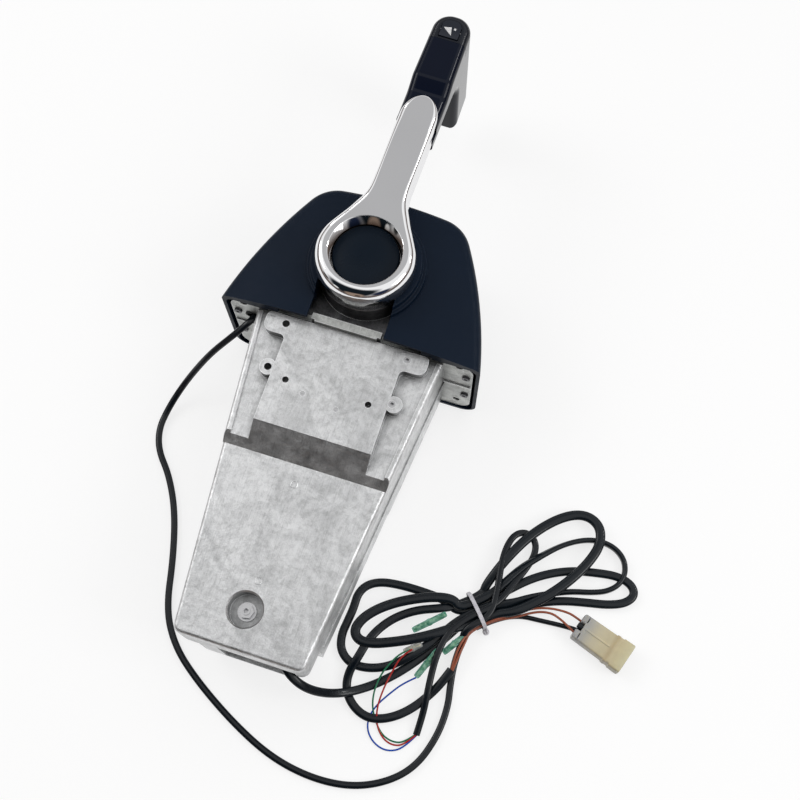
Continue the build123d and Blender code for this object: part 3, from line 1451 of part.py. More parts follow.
with BuildPart() as connector_wires:
    for points in ([(200, -153, 9.5), (219, -151.5, 9.5), (238, -154.5, 8.8), (252.6, -159.6, 8)],
                   [(200, -158, 8), (219, -159.5, 7.5), (236, -159, 7.8), (250.9, -164.3, 8)]):
        add(lead("connector_wires", points, wire_diameter))
save(connector_wires.part, "connector_wires")

# tied hank of spare harness: two lobes of outer shape and a pinched neck
neck_plane = Plane(origin=(neck_x, neck_y, neck_centre),
                   x_dir=(sin(radians(neck_turn)), -cos(radians(neck_turn)), 0),
                   z_dir=(cos(radians(neck_turn)), sin(radians(neck_turn)), 0))
left_lobe = [(146, -160), (116, -165), (92, -168), (74, -172), (64, -184), (62, -196), (61, -218),
             (64, -240), (76, -252), (80, -270), (92, -280), (116, -291), (134, -289), (146, -272),
             (160, -240), (161, -212), (163, -187)]
right_lobe = [(154, -156), (164, -126), (172, -99), (182, -97), (200, -80), (218, -67), (236, -71),
              (252, -85), (264, -98), (273, -112), (274, -121), (262, -132), (232, -143),
              (204, -158), (184, -168), (170, -178)]
with BuildPart() as harness_hank:
    for outline in (left_lobe, right_lobe):
        with BuildSketch(Plane.XY):
            with BuildLine():
                Polyline(*outline, close=True)
            make_face()
        extrude(amount=hank_height)
    with BuildSketch(neck_plane.offset(-neck_length / 2 - 1)):
        Rectangle(4 * neck_width, 4 * hank_height)
    extrude(amount=neck_length + 2, mode=Mode.SUBTRACT)
    fillet(harness_hank.faces().sort_by(Axis.Z)[-1].edges()
           + harness_hank.faces().sort_by(Axis.Z)[-2].edges(), hank_round)
    with BuildSketch(neck_plane.offset(-neck_length / 2 - 2)):
        RectangleRounded(neck_width, neck_height, neck_round)
    extrude(amount=neck_length + 4)
save(harness_hank.part, "harness_hank")
with BuildPart() as cable_tie:
    with BuildSketch(neck_plane.offset(-tie_width / 2)):
        RectangleRounded(neck_width + 2 * tie_thickness, neck_height + 2 * tie_thickness,
                         neck_round + tie_thickness)
        RectangleRounded(neck_width, neck_height, neck_round, mode=Mode.SUBTRACT)
    extrude(amount=tie_width)
    with BuildSketch(neck_plane.offset(-tie_width / 2 - 1)):
        with Locations((neck_width / 2 + tie_thickness + 2, 1)):
            RectangleRounded(5, 8, 1)
    extrude(amount=tie_width + 2)
save(cable_tie.part, "cable_tie")
connector_length, connector_width, connector_height = connector_size
with BuildPart() as connector:
    with BuildSketch(Plane((connector_x, connector_y, 0)).rotated((0, 0, connector_turn))):
        RectangleRounded(connector_length, connector_width, 2)
    extrude(amount=connector_height)
    socket_plane = Plane((connector_x, connector_y, connector_height / 2)).rotated(
        (0, 0, connector_turn))
    fillet(connector.faces().sort_by(Axis.Z)[-1].edges(), 1.5)
    mouth_plane = Plane(origin=socket_plane.from_local_coords((connector_length / 2, 0, 0)),
                        x_dir=(-socket_plane.y_dir), z_dir=socket_plane.x_dir)
    with BuildSketch(mouth_plane):
        RectangleRounded(connector_width - 5, connector_height - 5, 1.5)
    extrude(amount=-connector_length * 0.45, mode=Mode.SUBTRACT)
    entry_plane = mouth_plane.offset(-connector_length)
    with BuildSketch(entry_plane):
        Rectangle(connector_width - 7, connector_height - 6)
    extrude(amount=connector_length * 0.3, mode=Mode.SUBTRACT)
save(connector.part, "connector")
save(tube(Plane(origin=(trim_hole_x, deck_y + plate_low - 1, trim_hole_z), x_dir=(-1, 0, 0),
                z_dir=(0, 1, 0)), trim_hole_radius - fit_gap, lead_diameter / 2 + 0.5, plate_thickness + 2), "trim_grommet")
for name, diameter, length, smallest, ratio in tube_report:
    print(f"{name}: d {diameter} length {length:.0f} smallest arc {smallest:.1f} volume ratio {ratio:.4f}")
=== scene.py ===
"""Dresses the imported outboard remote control: castings, dome, chrome lever, grip and its harness."""
import math

import bpy
import numpy as np
from mathutils import Matrix, Vector


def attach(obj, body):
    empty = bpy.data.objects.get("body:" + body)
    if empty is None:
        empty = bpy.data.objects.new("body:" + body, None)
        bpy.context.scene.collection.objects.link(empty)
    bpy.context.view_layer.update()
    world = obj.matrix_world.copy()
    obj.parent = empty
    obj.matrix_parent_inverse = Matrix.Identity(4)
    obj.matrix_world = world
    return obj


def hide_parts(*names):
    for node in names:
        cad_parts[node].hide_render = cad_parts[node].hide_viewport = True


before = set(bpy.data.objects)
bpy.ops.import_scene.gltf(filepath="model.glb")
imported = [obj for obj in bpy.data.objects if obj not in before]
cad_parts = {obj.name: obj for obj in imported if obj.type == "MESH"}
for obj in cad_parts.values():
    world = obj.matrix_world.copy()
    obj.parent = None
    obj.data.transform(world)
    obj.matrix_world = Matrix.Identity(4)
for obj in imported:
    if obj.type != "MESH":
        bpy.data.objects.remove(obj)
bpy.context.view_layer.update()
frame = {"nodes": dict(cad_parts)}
nodes = frame["nodes"]
MM = 0.001

# ---------------------------------------------------------------- castings
# The two housing halves and the deck plate are die-cast aluminium, left as they leave the die:
# mottled by the flow of the metal, lightly scratched, and rubbed bright along every edge.


def start_material(name, **values):
    """New material with these values on its shader's own sockets; returns it, its tree and shader."""
    material = bpy.data.materials.new(name)
    material.use_nodes = True
    tree = material.node_tree
    shader = tree.nodes["Principled BSDF"]
    for socket, value in values.items():
        shader.inputs[socket.replace("_", " ")].default_value = value
    return material, tree, shader


def object_noise(tree, scale, detail=4.0, rough=0.55, stretch=(1, 1, 1), turn=0.0, distortion=0.0):
    """Noise on object coordinates, about 1/scale metres across, stretched and turned in plan."""
    place = tree.nodes.new("ShaderNodeTexCoord")
    mapping = tree.nodes.new("ShaderNodeMapping")
    mapping.inputs["Scale"].default_value = stretch
    mapping.inputs["Rotation"].default_value = (0, 0, turn)
    noise = tree.nodes.new("ShaderNodeTexNoise")
    noise.inputs["Scale"].default_value = scale
    noise.inputs["Detail"].default_value = detail
    noise.inputs["Roughness"].default_value = rough
    noise.inputs["Distortion"].default_value = distortion
    tree.links.new(place.outputs["Object"], mapping.inputs["Vector"])
    tree.links.new(mapping.outputs["Vector"], noise.inputs["Vector"])
    return noise.outputs["Fac"]


def ramp(tree, factor, stops):
    """Colour ramp through (position, grey level or colour) stops."""
    node = tree.nodes.new("ShaderNodeValToRGB")
    stops = [(at, (c, c, c) if np.isscalar(c) else c) for at, c in stops]
    while len(node.color_ramp.elements) < len(stops):
        node.color_ramp.elements.new(0.5)
    for element, (at, colour) in zip(node.color_ramp.elements, stops):
        element.position = at
        element.color = (*colour, 1)
    tree.links.new(factor, node.inputs["Fac"])
    return node.outputs["Color"]


def blend_colours(tree, factor, first, second, kind="MIX"):
    """Second colour over the first by a factor, which may be a number or a socket."""
    node = tree.nodes.new("ShaderNodeMix")
    node.data_type = "RGBA"
    node.blend_type = kind
    for socket, value in ((node.inputs[0], factor), (node.inputs[6], first), (node.inputs[7], second)):
        if isinstance(value, bpy.types.NodeSocket):
            tree.links.new(value, socket)
        else:
            socket.default_value = value if np.isscalar(value) else (*value, 1)
    return node.outputs[2]


def edge_wear(tree, width, gain=4.0):
    """Factor that rises towards 1 on edges rounder than the surface by `width` metres."""
    bevel = tree.nodes.new("ShaderNodeBevel")
    bevel.samples = 6
    bevel.inputs["Radius"].default_value = width
    plain = tree.nodes.new("ShaderNodeNewGeometry")
    facing = tree.nodes.new("ShaderNodeVectorMath")
    facing.operation = "DOT_PRODUCT"
    tree.links.new(bevel.outputs["Normal"], facing.inputs[0])
    tree.links.new(plain.outputs["Normal"], facing.inputs[1])
    turn = tree.nodes.new("ShaderNodeMath")
    turn.operation = "MULTIPLY_ADD"
    turn.use_clamp = True
    turn.inputs[1].default_value = -gain
    turn.inputs[2].default_value = gain
    tree.links.new(facing.outputs["Value"], turn.inputs[0])
    return turn.outputs["Value"]


def recess_shade(tree, reach, stops=((0.35, 0.45), (0.88, 1.0))):
    """Colour by how open the surface is within `reach` metres, from 0 shut in to 1 free."""
    open_sky = tree.nodes.new("ShaderNodeAmbientOcclusion")
    open_sky.samples = 8
    open_sky.inputs["Distance"].default_value = reach
    return ramp(tree, open_sky.outputs["AO"], stops)


def bump(tree, shader, height, depth, strength=1.0):
    """Bump on the shader from a height socket, `depth` metres from black to white."""
    node = tree.nodes.new("ShaderNodeBump")
    node.inputs["Strength"].default_value = strength
    node.inputs["Distance"].default_value = depth
    tree.links.new(height, node.inputs["Height"])
    tree.links.new(node.outputs["Normal"], shader.inputs["Normal"])


def cast_metal(name, dark, light, wear=0.0011, metallic=0.97, roughness=(0.30, 0.46)):
    """Raw cast metal: flow marks, dark rubs, drawn scratches, fine grain, painted shade in recesses and
    bright worn edges.
    """
    material, tree, shader = start_material(name, Metallic=metallic)
    shader.inputs["Specular IOR Level"].default_value = 0.3
    flow = ramp(tree, object_noise(tree, 34, 10, 0.72, distortion=0.9), [(0.36, dark), (0.58, light)])
    blotch = ramp(tree, object_noise(tree, 170, 8, 0.8), [(0.38, 0.66), (0.54, 1.0)])
    colour = blend_colours(tree, 0.7, flow, blotch, "MULTIPLY")
    for turn, stretch in ((0.5, (16, 0.5, 1)), (-0.9, (20, 0.7, 1))):
        lines = object_noise(tree, 85, 4, 0.6, stretch, turn)
        colour = blend_colours(tree, 0.45, colour, ramp(tree, lines, [(0.56, 1.0), (0.66, 0.72)]), "MULTIPLY")
    bright = ramp(tree, object_noise(tree, 110, 3, 0.6, (18, 0.6, 1), 0.2), [(0.62, 0.0), (0.72, 0.10)])
    colour = blend_colours(tree, 1.0, colour, bright, "ADD")
    # painted shade: the colour darkens in corners and recesses where the surface is shut in
    colour = blend_colours(tree, 1.0, colour, recess_shade(tree, 0.012), "MULTIPLY")
    colour = blend_colours(tree, edge_wear(tree, wear), colour, (0.94, 0.95, 0.96))
    tree.links.new(colour, shader.inputs["Base Color"])
    low, high = roughness
    tree.links.new(ramp(tree, object_noise(tree, 95, 6, 0.65), [(0.35, low), (0.65, high)]),
                   shader.inputs["Roughness"])
    bump(tree, shader, object_noise(tree, 300, 6, 0.7), 0.0005, 0.8)
    return material


def dress(material, *names):
    """Gives a material to CAD nodes."""
    for name in names:
        nodes[name].data.materials.clear()
        nodes[name].data.materials.append(material)


def add_mesh(name, points, faces, material, crease=35):
    """Mesh object from points in metres; edges sharper than `crease` degrees stay hard."""
    mesh = bpy.data.meshes.new(name)
    mesh.from_pydata([tuple(p) for p in np.asarray(points, float)], [], [tuple(f) for f in faces])
    mesh.polygons.foreach_set("use_smooth", [True] * len(mesh.polygons))
    mesh.set_sharp_from_angle(angle=math.radians(crease))
    piece = bpy.data.objects.new(name, mesh)
    bpy.context.scene.collection.objects.link(piece)
    mesh.materials.append(material)
    return piece


def loft(solids, material, name, start, heading, up=(0, 0, 1), steps=5):
    """Closed solids through rounded rectangles along a heading; start in metres, stations in mm.

    A station is (along, half across, half high, corner round, shift across, lift); its ring is
    centre + sign * (half - round) + round * (cos a, sin a) for a round the four corners.
    """
    ahead = np.array(Vector(heading).normalized())
    side = np.cross(up, ahead)
    side /= np.linalg.norm(side)
    above = np.cross(ahead, side)
    angle = np.radians(np.concatenate([np.linspace(q, q + 90, steps) for q in (0, 90, 180, 270)]))
    sign = np.repeat([[1, 1], [-1, 1], [-1, -1], [1, -1]], steps, axis=0)
    count, points, faces = len(angle), [], []
    for stations in solids:
        rows = np.array([tuple(row) + (0,) * (6 - len(row)) for row in stations], float)
        ring = (sign * (rows[:, None, 1:3] - rows[:, None, 3:4])
                + rows[:, None, 3:4] * np.stack([np.cos(angle), np.sin(angle)], 1) + rows[:, None, 4:6])
        place = (rows[:, None, :1] * ahead + ring[..., :1] * side + ring[..., 1:] * above) * MM
        base = sum(len(block) for block in points)
        points.append((place + np.array(start)).reshape(-1, 3))
        quad = base + count * np.arange(len(rows) - 1)[:, None] + np.arange(count)
        turn = base + count * np.arange(len(rows) - 1)[:, None] + (np.arange(count) + 1) % count
        faces += np.stack([quad, turn, turn + count, quad + count], -1).reshape(-1, 4).tolist()
        faces.append((base + np.arange(count)[::-1]).tolist())
        faces.append((base + count * (len(rows) - 1) + np.arange(count)).tolist())
    return add_mesh(name, np.concatenate(points), faces, material)


die_cast = cast_metal("die_cast_aluminium", (0.54, 0.545, 0.55), (0.76, 0.765, 0.77))
dress(die_cast, "front_housing", "rear_housing")
# painted shade: the bearing frame is die-cast like the housing but given a much darker colour, which stands
# in for the shade in the slot under the dome
frame_metal_painted_shade = cast_metal("bearing_frame_painted_shade", (0.10, 0.10, 0.105), (0.26, 0.26, 0.27))
dress(frame_metal_painted_shade, "bearing_frame")
plate_metal = cast_metal("deck_plate_cast", (0.42, 0.43, 0.42), (0.62, 0.63, 0.61), roughness=(0.4, 0.6))
dress(plate_metal, "base_plate")

# the ejector pins leave faint raised rings on the lower panel, each a torus sunk to its middle
panel_level = 88.0
mark_radius, mark_bead = 2.6, 0.3
mark_turns, mark_sides = 36, 8
turn, tube = np.meshgrid(np.linspace(0, 2 * np.pi, mark_turns, endpoint=False),
                         np.linspace(0, 2 * np.pi, mark_sides, endpoint=False), indexing="ij")
radius = mark_radius + mark_bead * np.cos(tube)
index = np.arange(mark_turns * mark_sides).reshape(mark_turns, mark_sides)
beside, over = np.roll(index, -1, axis=0), np.roll(index, -1, axis=1)
cells = np.stack([index, beside, np.roll(beside, -1, axis=1), over], -1)
for name, middle in (("ejector_mark_upper", (-2.3, -135.0)), ("ejector_mark_lower", (-2.7, -212.6))):
    points = np.stack([middle[0] + radius * np.cos(turn), middle[1] + radius * np.sin(turn),
                       panel_level + mark_bead * np.sin(tube)], -1)
    mark = add_mesh(name, points.reshape(-1, 3) * MM, cells.reshape(-1, 4).tolist(), die_cast)
    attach(mark, "control_box")

# ---------------------------------------------------------------- dome cover
# The dome is one ABS moulding, navy black with a fine spark-eroded grain; the button that fills
# the hub is a softer, slightly shinier moulding of the same colour.


def moulded_plastic(name, colour, roughness, grain=0.00004, grain_scale=1500, haze=0.25, specular=0.3,
                    **values):
    """Moulded plastic: faint cloudy colour, grain from the tool and slightly rubbed edges."""
    material, tree, shader = start_material(name, **values)
    shader.inputs["Specular IOR Level"].default_value = specular
    lighter = tuple(min(1, channel * (1 + haze) + 0.0015) for channel in colour)
    cloud = blend_colours(tree, object_noise(tree, 18, 3, 0.5), colour, lighter)
    worn = blend_colours(tree, edge_wear(tree, 0.0007, 1.2), cloud,
                         tuple(min(1, channel * 2.2 + 0.008) for channel in colour))
    tree.links.new(worn, shader.inputs["Base Color"])
    tree.links.new(ramp(tree, object_noise(tree, 45, 4, 0.6),
                        [(0.35, roughness * 0.88), (0.65, roughness * 1.12)]), shader.inputs["Roughness"])
    bump(tree, shader, object_noise(tree, grain_scale, 2, 0.5), grain, 0.6)
    return material


dome_black = moulded_plastic("dome_navy_abs", (0.0022, 0.0082, 0.0205), 0.44, specular=0.12)
dress(dome_black, "dome_cover")
button_black = moulded_plastic("button_navy_abs", (0.0018, 0.0065, 0.0140), 0.30, grain=0.00002,
                               specular=0.12)
dress(button_black, "hub_button")

# ---------------------------------------------------------------- lever
# The hub ring and arm are one zinc casting, polished and chromed; the stem behind it is drawn
# aluminium with a brushed side.


def plated(name, colour, roughness, wave=0.00003):
    """Polished plating: a mirror with faint waviness left by the buffing wheel."""
    material, tree, shader = start_material(name, Metallic=1.0)
    tint = blend_colours(tree, object_noise(tree, 30, 3, 0.5), colour,
                         tuple(channel * 0.95 for channel in colour))
    tree.links.new(tint, shader.inputs["Base Color"])
    tree.links.new(ramp(tree, object_noise(tree, 60, 4, 0.5),
                        [(0.3, roughness * 0.7), (0.7, roughness * 1.3)]), shader.inputs["Roughness"])
    bump(tree, shader, object_noise(tree, 60, 2, 0.4), wave, 0.5)
    return material, tree, shader


def funnel_shading(tree, shader, centre, radius, lean):
    """Inside `radius` round an upright axis the normal leans up, as on a polished funnel wall."""
    place = tree.nodes.new("ShaderNodeTexCoord")
    offset = tree.nodes.new("ShaderNodeVectorMath")
    offset.operation = "SUBTRACT"
    offset.inputs[1].default_value = (*centre, 0)
    flat = tree.nodes.new("ShaderNodeVectorMath")
    flat.operation = "MULTIPLY"
    flat.inputs[1].default_value = (1, 1, 0)
    away = tree.nodes.new("ShaderNodeVectorMath")
    away.operation = "LENGTH"
    inside = tree.nodes.new("ShaderNodeMath")
    inside.operation = "LESS_THAN"
    inside.inputs[1].default_value = radius
    raised = tree.nodes.new("ShaderNodeVectorMath")
    raised.operation = "SCALE"
    raised.inputs[0].default_value = (0, 0, lean)
    total = tree.nodes.new("ShaderNodeVectorMath")
    total.operation = "ADD"
    unit = tree.nodes.new("ShaderNodeVectorMath")
    unit.operation = "NORMALIZE"
    tree.links.new(place.outputs["Object"], offset.inputs[0])
    tree.links.new(offset.outputs["Vector"], flat.inputs[0])
    tree.links.new(flat.outputs["Vector"], away.inputs[0])
    tree.links.new(away.outputs["Value"], inside.inputs[0])
    tree.links.new(inside.outputs["Value"], raised.inputs["Scale"])
    tree.links.new(shader.inputs["Normal"].links[0].from_socket, total.inputs[0])
    tree.links.new(raised.outputs["Vector"], total.inputs[1])
    tree.links.new(total.outputs["Vector"], unit.inputs[0])
    tree.links.new(unit.outputs["Vector"], shader.inputs["Normal"])


def brushed_metal(name, colour, roughness, stretch=(1, 30, 30), metallic=1.0):
    """Drawn or turned metal with fine lines along one axis."""
    material, tree, shader = start_material(name, Metallic=metallic)
    lines = object_noise(tree, 120, 3, 0.6, stretch)
    tree.links.new(blend_colours(tree, lines, tuple(c * 0.8 for c in colour), colour),
                   shader.inputs["Base Color"])
    tree.links.new(ramp(tree, lines, [(0.3, roughness * 0.8), (0.7, roughness * 1.2)]),
                   shader.inputs["Roughness"])
    bump(tree, shader, lines, 0.00003, 0.5)
    return material


chrome, tree, shader = plated("lever_chrome", (0.86, 0.86, 0.87), 0.05)
# painted shade: where the chrome is shut in by the dome or the hub's bore its colour is darkened to brown,
# standing in for the dark reflection there
shade = recess_shade(tree, 0.035, ((0.42, (0.12, 0.095, 0.085)), (0.78, 1.0)))
tint = shader.inputs["Base Color"].links[0].from_socket
tree.links.new(blend_colours(tree, 1.0, tint, shade, "MULTIPLY"), shader.inputs["Base Color"])
hub = np.array([-3.0, 44.5])
bore_reach, bore_lean = 0.0292, 0.9
funnel_shading(tree, shader, tuple(hub * MM), bore_reach, bore_lean)
lean = math.radians(1.2)
face_level, foot_level = 142.0, 126.3


def smooth_half(nodes, parts=6):
    """Catmull-Rom curve through the nodes, which is mirrored past the axis at both ends."""
    nodes = np.array(nodes, float)
    nodes = np.concatenate([nodes[1:2] * [-1, 1], nodes, nodes[-2:-1] * [-1, 1]])
    before, start, end, after = nodes[:-3, None], nodes[1:-2, None], nodes[2:-1, None], nodes[3:, None]
    t = (np.arange(parts) / parts)[None, :, None]
    line = 0.5 * (2 * start + (end - before) * t + (2 * before - 5 * start + 4 * end - after) * t ** 2
                  + (3 * start - before - 3 * end + after) * t ** 3)
    return np.concatenate([line.reshape(-1, 2), nodes[-2:-1]])


def both_halves(half):
    """Closed loop from the right half, foot to tip, and its mirror image from the tip back."""
    return np.concatenate([half, (half * [-1, 1])[-2:0:-1]])


def eased(value, start, end):
    """Smoothstep 3 t^2 - 2 t^3 of the value between start and end."""
    t = np.clip((value - start) / (end - start), 0, 1)
    return t * t * (3 - 2 * t)


# half outlines in millimetres, across and along the lever from the hub: silhouette and flat face,
# each an arc round the hub that runs into the waist, the straight arm and the round tip
turn = np.radians([-90, -75, -60, -45, -30, -15, 0])
edge_arc = 40.3 * np.stack([np.cos(turn), np.sin(turn)], 1)
edge_arc[0, 0] = 0
flat_arc = np.linspace(31.0, 33.4, 7)[:, None] * np.stack([np.cos(turn), np.sin(turn)], 1)
flat_arc[0, 0] = 0
silhouette = both_halves(smooth_half([*edge_arc, (38.2, 11), (34.6, 18.5), (30.4, 25.5), (26.2, 32),
                                      (22.2, 39), (19.0, 45), (16.9, 51), (15.9, 58), (15.6, 70), (15.6, 85),
                                      (15.7, 100), (15.9, 112), (15.7, 121), (15.0, 128), (13.0, 134.5),
                                      (9.7, 139.7), (5.3, 142.9), (0, 144)]))
face = both_halves(smooth_half([*flat_arc, (31.9, 8.5), (29.2, 15), (25.6, 21.5), (21.8, 28), (18.2, 34.5),
                                (14.9, 41), (12.9, 47.5), (12.1, 56), (12.2, 70), (12.4, 85),
                                (12.3, 100), (11.9, 112), (11.4, 120), (11.0, 126.5), (9.9, 132.5),
                                (7.8, 137.8), (4.4, 141.5), (0, 142.9)]))
around = np.arctan2(face[:, 1], face[:, 0])
spoke = np.stack([np.cos(around), np.sin(around)], 1)
reach = silhouette[:, 1]
ahead = np.roll(silhouette, -1, axis=0) - np.roll(silhouette, 1, axis=0)
outward = np.stack([ahead[:, 1], -ahead[:, 0]], 1) / np.linalg.norm(ahead, axis=1)[:, None]
drop = 11 - 5 * eased(reach, 20, 50) - 2.5 * eased(reach, 116, 130)
low = foot_level + 3.9 * eased(reach, 30, 50)
cove = eased(reach, 46, 53) * (1 - eased(reach, 106, 114))
# rings of the skin, each the points of one level: bore wall and rim, flat face, rounded edge, coved
# flank and foot; the rings just inside the rim and the face's edge keep the flat truly flat
rings = [(spoke * radius, np.full(len(reach), height))
         for radius, height in ((27.3, 126), (27.5, 132), (28.9, 141.0), (29.15, 141.8), (29.5, face_level),
                                (29.9, face_level))]
inward = np.roll(face, 1, axis=0) - np.roll(face, -1, axis=0)
inward = np.stack([inward[:, 1], -inward[:, 0]], 1) / np.linalg.norm(inward, axis=1)[:, None]
rings += [(face + 0.5 * inward, np.full(len(reach), face_level)), (face, np.full(len(reach), face_level))]
for step in np.radians([14, 28, 42, 56, 70, 82, 90]):
    rings.append((face + (silhouette - face) * np.sin(step), face_level - drop * (1 - np.cos(step))))
for share, swell in ((0.22, -0.35), (0.48, -0.1), (0.75, 0.5), (1.0, 1.0)):
    rings.append((silhouette + outward * (swell * cove)[:, None],
                  face_level - drop + (low - face_level + drop) * share))
rings.append((silhouette * 0.985, low - 0.3))
across, along = np.stack([ring for ring, _ in rings]).transpose(2, 0, 1)
points = np.stack([hub[0] + across * math.cos(lean) + along * math.sin(lean),
                   hub[1] - across * math.sin(lean) + along * math.cos(lean),
                   np.stack([height for _, height in rings])], -1)
row, column = np.meshgrid(np.arange(len(rings)), np.arange(len(reach)), indexing="ij")
next_row, next_column = (row + 1) % len(rings), (column + 1) % len(reach)
skin = np.stack([row * len(reach) + column, next_row * len(reach) + column,
                 next_row * len(reach) + next_column, row * len(reach) + next_column], -1)
arm = add_mesh("lever_arm_chromed", points.reshape(-1, 3) * MM, skin.reshape(-1, 4).tolist(), chrome, 24)
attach(arm, "lever")
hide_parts("lever_arm")
drawn_aluminium = brushed_metal("drawn_aluminium", (0.78, 0.78, 0.79), 0.24, (30, 1, 30))
dress(drawn_aluminium, "lever_stem")

# ---------------------------------------------------------------- grip
# The grip and its cap are glossy black ABS; the trim rocker is satin with a printed arrow.
grip_black = moulded_plastic("grip_gloss_abs", (0.0015, 0.0040, 0.0140), 0.08, grain=0.000006,
                             grain_scale=400, specular=0.18)
dress(grip_black, "grip_body")
cap_black = moulded_plastic("cap_satin_abs", (0.0050, 0.0070, 0.0130), 0.24, grain=0.00002, specular=0.3)
dress(cap_black, "grip_cap")
rocker_black = moulded_plastic("rocker_satin_abs", (0.010, 0.013, 0.022), 0.32, grain=0.00003)
dress(rocker_black, "trim_rocker")

# ---------------------------------------------------------------- works inside
# Shaft, gears, pins and screws are turned or milled steel; bushes are sintered bronze.
turned_steel = brushed_metal("turned_steel", (0.62, 0.62, 0.63), 0.30)
dress(turned_steel, "lever_shaft", "shaft_keys", "shaft_clip", "arm_shaft", "arm_spacers",
      "shaft_spacers", "detent_ball", "detent_spring", "detent_plug", "rocker_pin", "grip_pin",
      "cap_pins", "button_spring", "dowel_pins", "hub_washer", "recess_nut", "lower_stud",
      "pad_plugs", "arm_screws")
blackened_steel = brushed_metal("blackened_steel", (0.14, 0.14, 0.15), 0.38, metallic=0.9)
dress(blackened_steel, "case_screws", "flange_screws", "frame_screws", "dome_screws", "hub_bolt",
      "friction_screw", "friction_locknut")
gear_steel = brushed_metal("gear_steel", (0.42, 0.42, 0.44), 0.42, (1, 1, 40))
dress(gear_steel, "shift_pinion", "throttle_pinion", "detent_disc", "shift_arm", "throttle_arm")
bush_bronze = brushed_metal("bush_bronze", (0.55, 0.36, 0.16), 0.40)
dress(bush_bronze, "near_bush", "far_bush")
switch_black = moulded_plastic("switch_nylon", (0.020, 0.020, 0.022), 0.5)
dress(switch_black, "neutral_switch", "friction_pad")
grommet_rubber = moulded_plastic("grommet_rubber", (0.010, 0.010, 0.011), 0.65)
dress(grommet_rubber, "trim_grommet")

# ---------------------------------------------------------------- harness
# A flat oval loom in glossy black PVC leaves the housing's lower end, runs to the hank's tie and
# makes two turns through each lobe before its sleeve ends.


def cord_curve(name, rows, size, material, section=None):
    """Smooth NURBS line through control points in millimetres; rows are x, y, z, turn, scale."""
    curve = bpy.data.curves.new(name, "CURVE")
    curve.dimensions = "3D"
    curve.twist_mode = "Z_UP"
    spline = curve.splines.new("NURBS")
    rows = [tuple(row) + (0, 1)[len(row) - 3:] if len(row) < 5 else tuple(row) for row in rows]
    spline.points.add(len(rows) - 1)
    for point, (x, y, z, turn, scale) in zip(spline.points, rows):
        point.co = (x * MM, y * MM, z * MM, 1)
        point.tilt = math.radians(turn)
        point.radius = scale
    spline.order_u = 3
    spline.use_endpoint_u = True
    curve.resolution_u = 10
    if section is None:
        curve.bevel_depth = size / 2
        curve.bevel_resolution = 5
    else:
        curve.bevel_mode = "OBJECT"
        curve.bevel_object = section
    curve.use_fill_caps = True
    piece = bpy.data.objects.new(name, curve)
    bpy.context.scene.collection.objects.link(piece)
    curve.materials.append(material)
    return piece


def oval_section(name, width, height, sides=20, power=2.6):
    """Hidden profile of a flat cord: a superellipse, fuller than an ellipse at its corners."""
    angle = np.linspace(0, 2 * np.pi, sides, endpoint=False)
    x = np.sign(np.cos(angle)) * np.abs(np.cos(angle)) ** (2 / power) * width / 2
    y = np.sign(np.sin(angle)) * np.abs(np.sin(angle)) ** (2 / power) * height / 2
    curve = bpy.data.curves.new(name, "CURVE")
    spline = curve.splines.new("POLY")
    spline.points.add(sides - 1)
    spline.points.foreach_set("co", np.stack([x, y, 0 * x, 0 * x + 1], 1).ravel().astype(np.float32))
    spline.use_cyclic_u = True
    profile = bpy.data.objects.new(name, curve)
    bpy.context.scene.collection.objects.link(profile)
    profile.hide_render = True
    profile.hide_viewport = True
    return profile


def insulation(name, colour, roughness=0.24, ripple=0.00012):
    """Soft PVC over strands: glossy, slightly rippled and scuffed."""
    material, tree, shader = start_material(name, Coat_Weight=0.25, Coat_Roughness=0.08)
    shader.inputs["Specular IOR Level"].default_value = 0.2
    lighter = tuple(min(1, channel * 1.35 + 0.002) for channel in colour)
    tree.links.new(blend_colours(tree, object_noise(tree, 70, 4, 0.6), colour, lighter),
                   shader.inputs["Base Color"])
    tree.links.new(ramp(tree, object_noise(tree, 160, 5, 0.6),
                        [(0.35, roughness * 0.8), (0.7, roughness * 1.5)]), shader.inputs["Roughness"])
    bump(tree, shader, object_noise(tree, 130, 3, 0.5), ripple, 0.5)
    return material


tie_x, tie_y = 158.0, -171.0
tie_turn = math.radians(42)


def at_tie(across, height, along):
    """Point near the tie: across its width, above the table and along the bundle, in millimetres."""
    return (tie_x + along * math.cos(tie_turn) + across * math.sin(tie_turn),
            tie_y + along * math.sin(tie_turn) - across * math.cos(tie_turn), height)


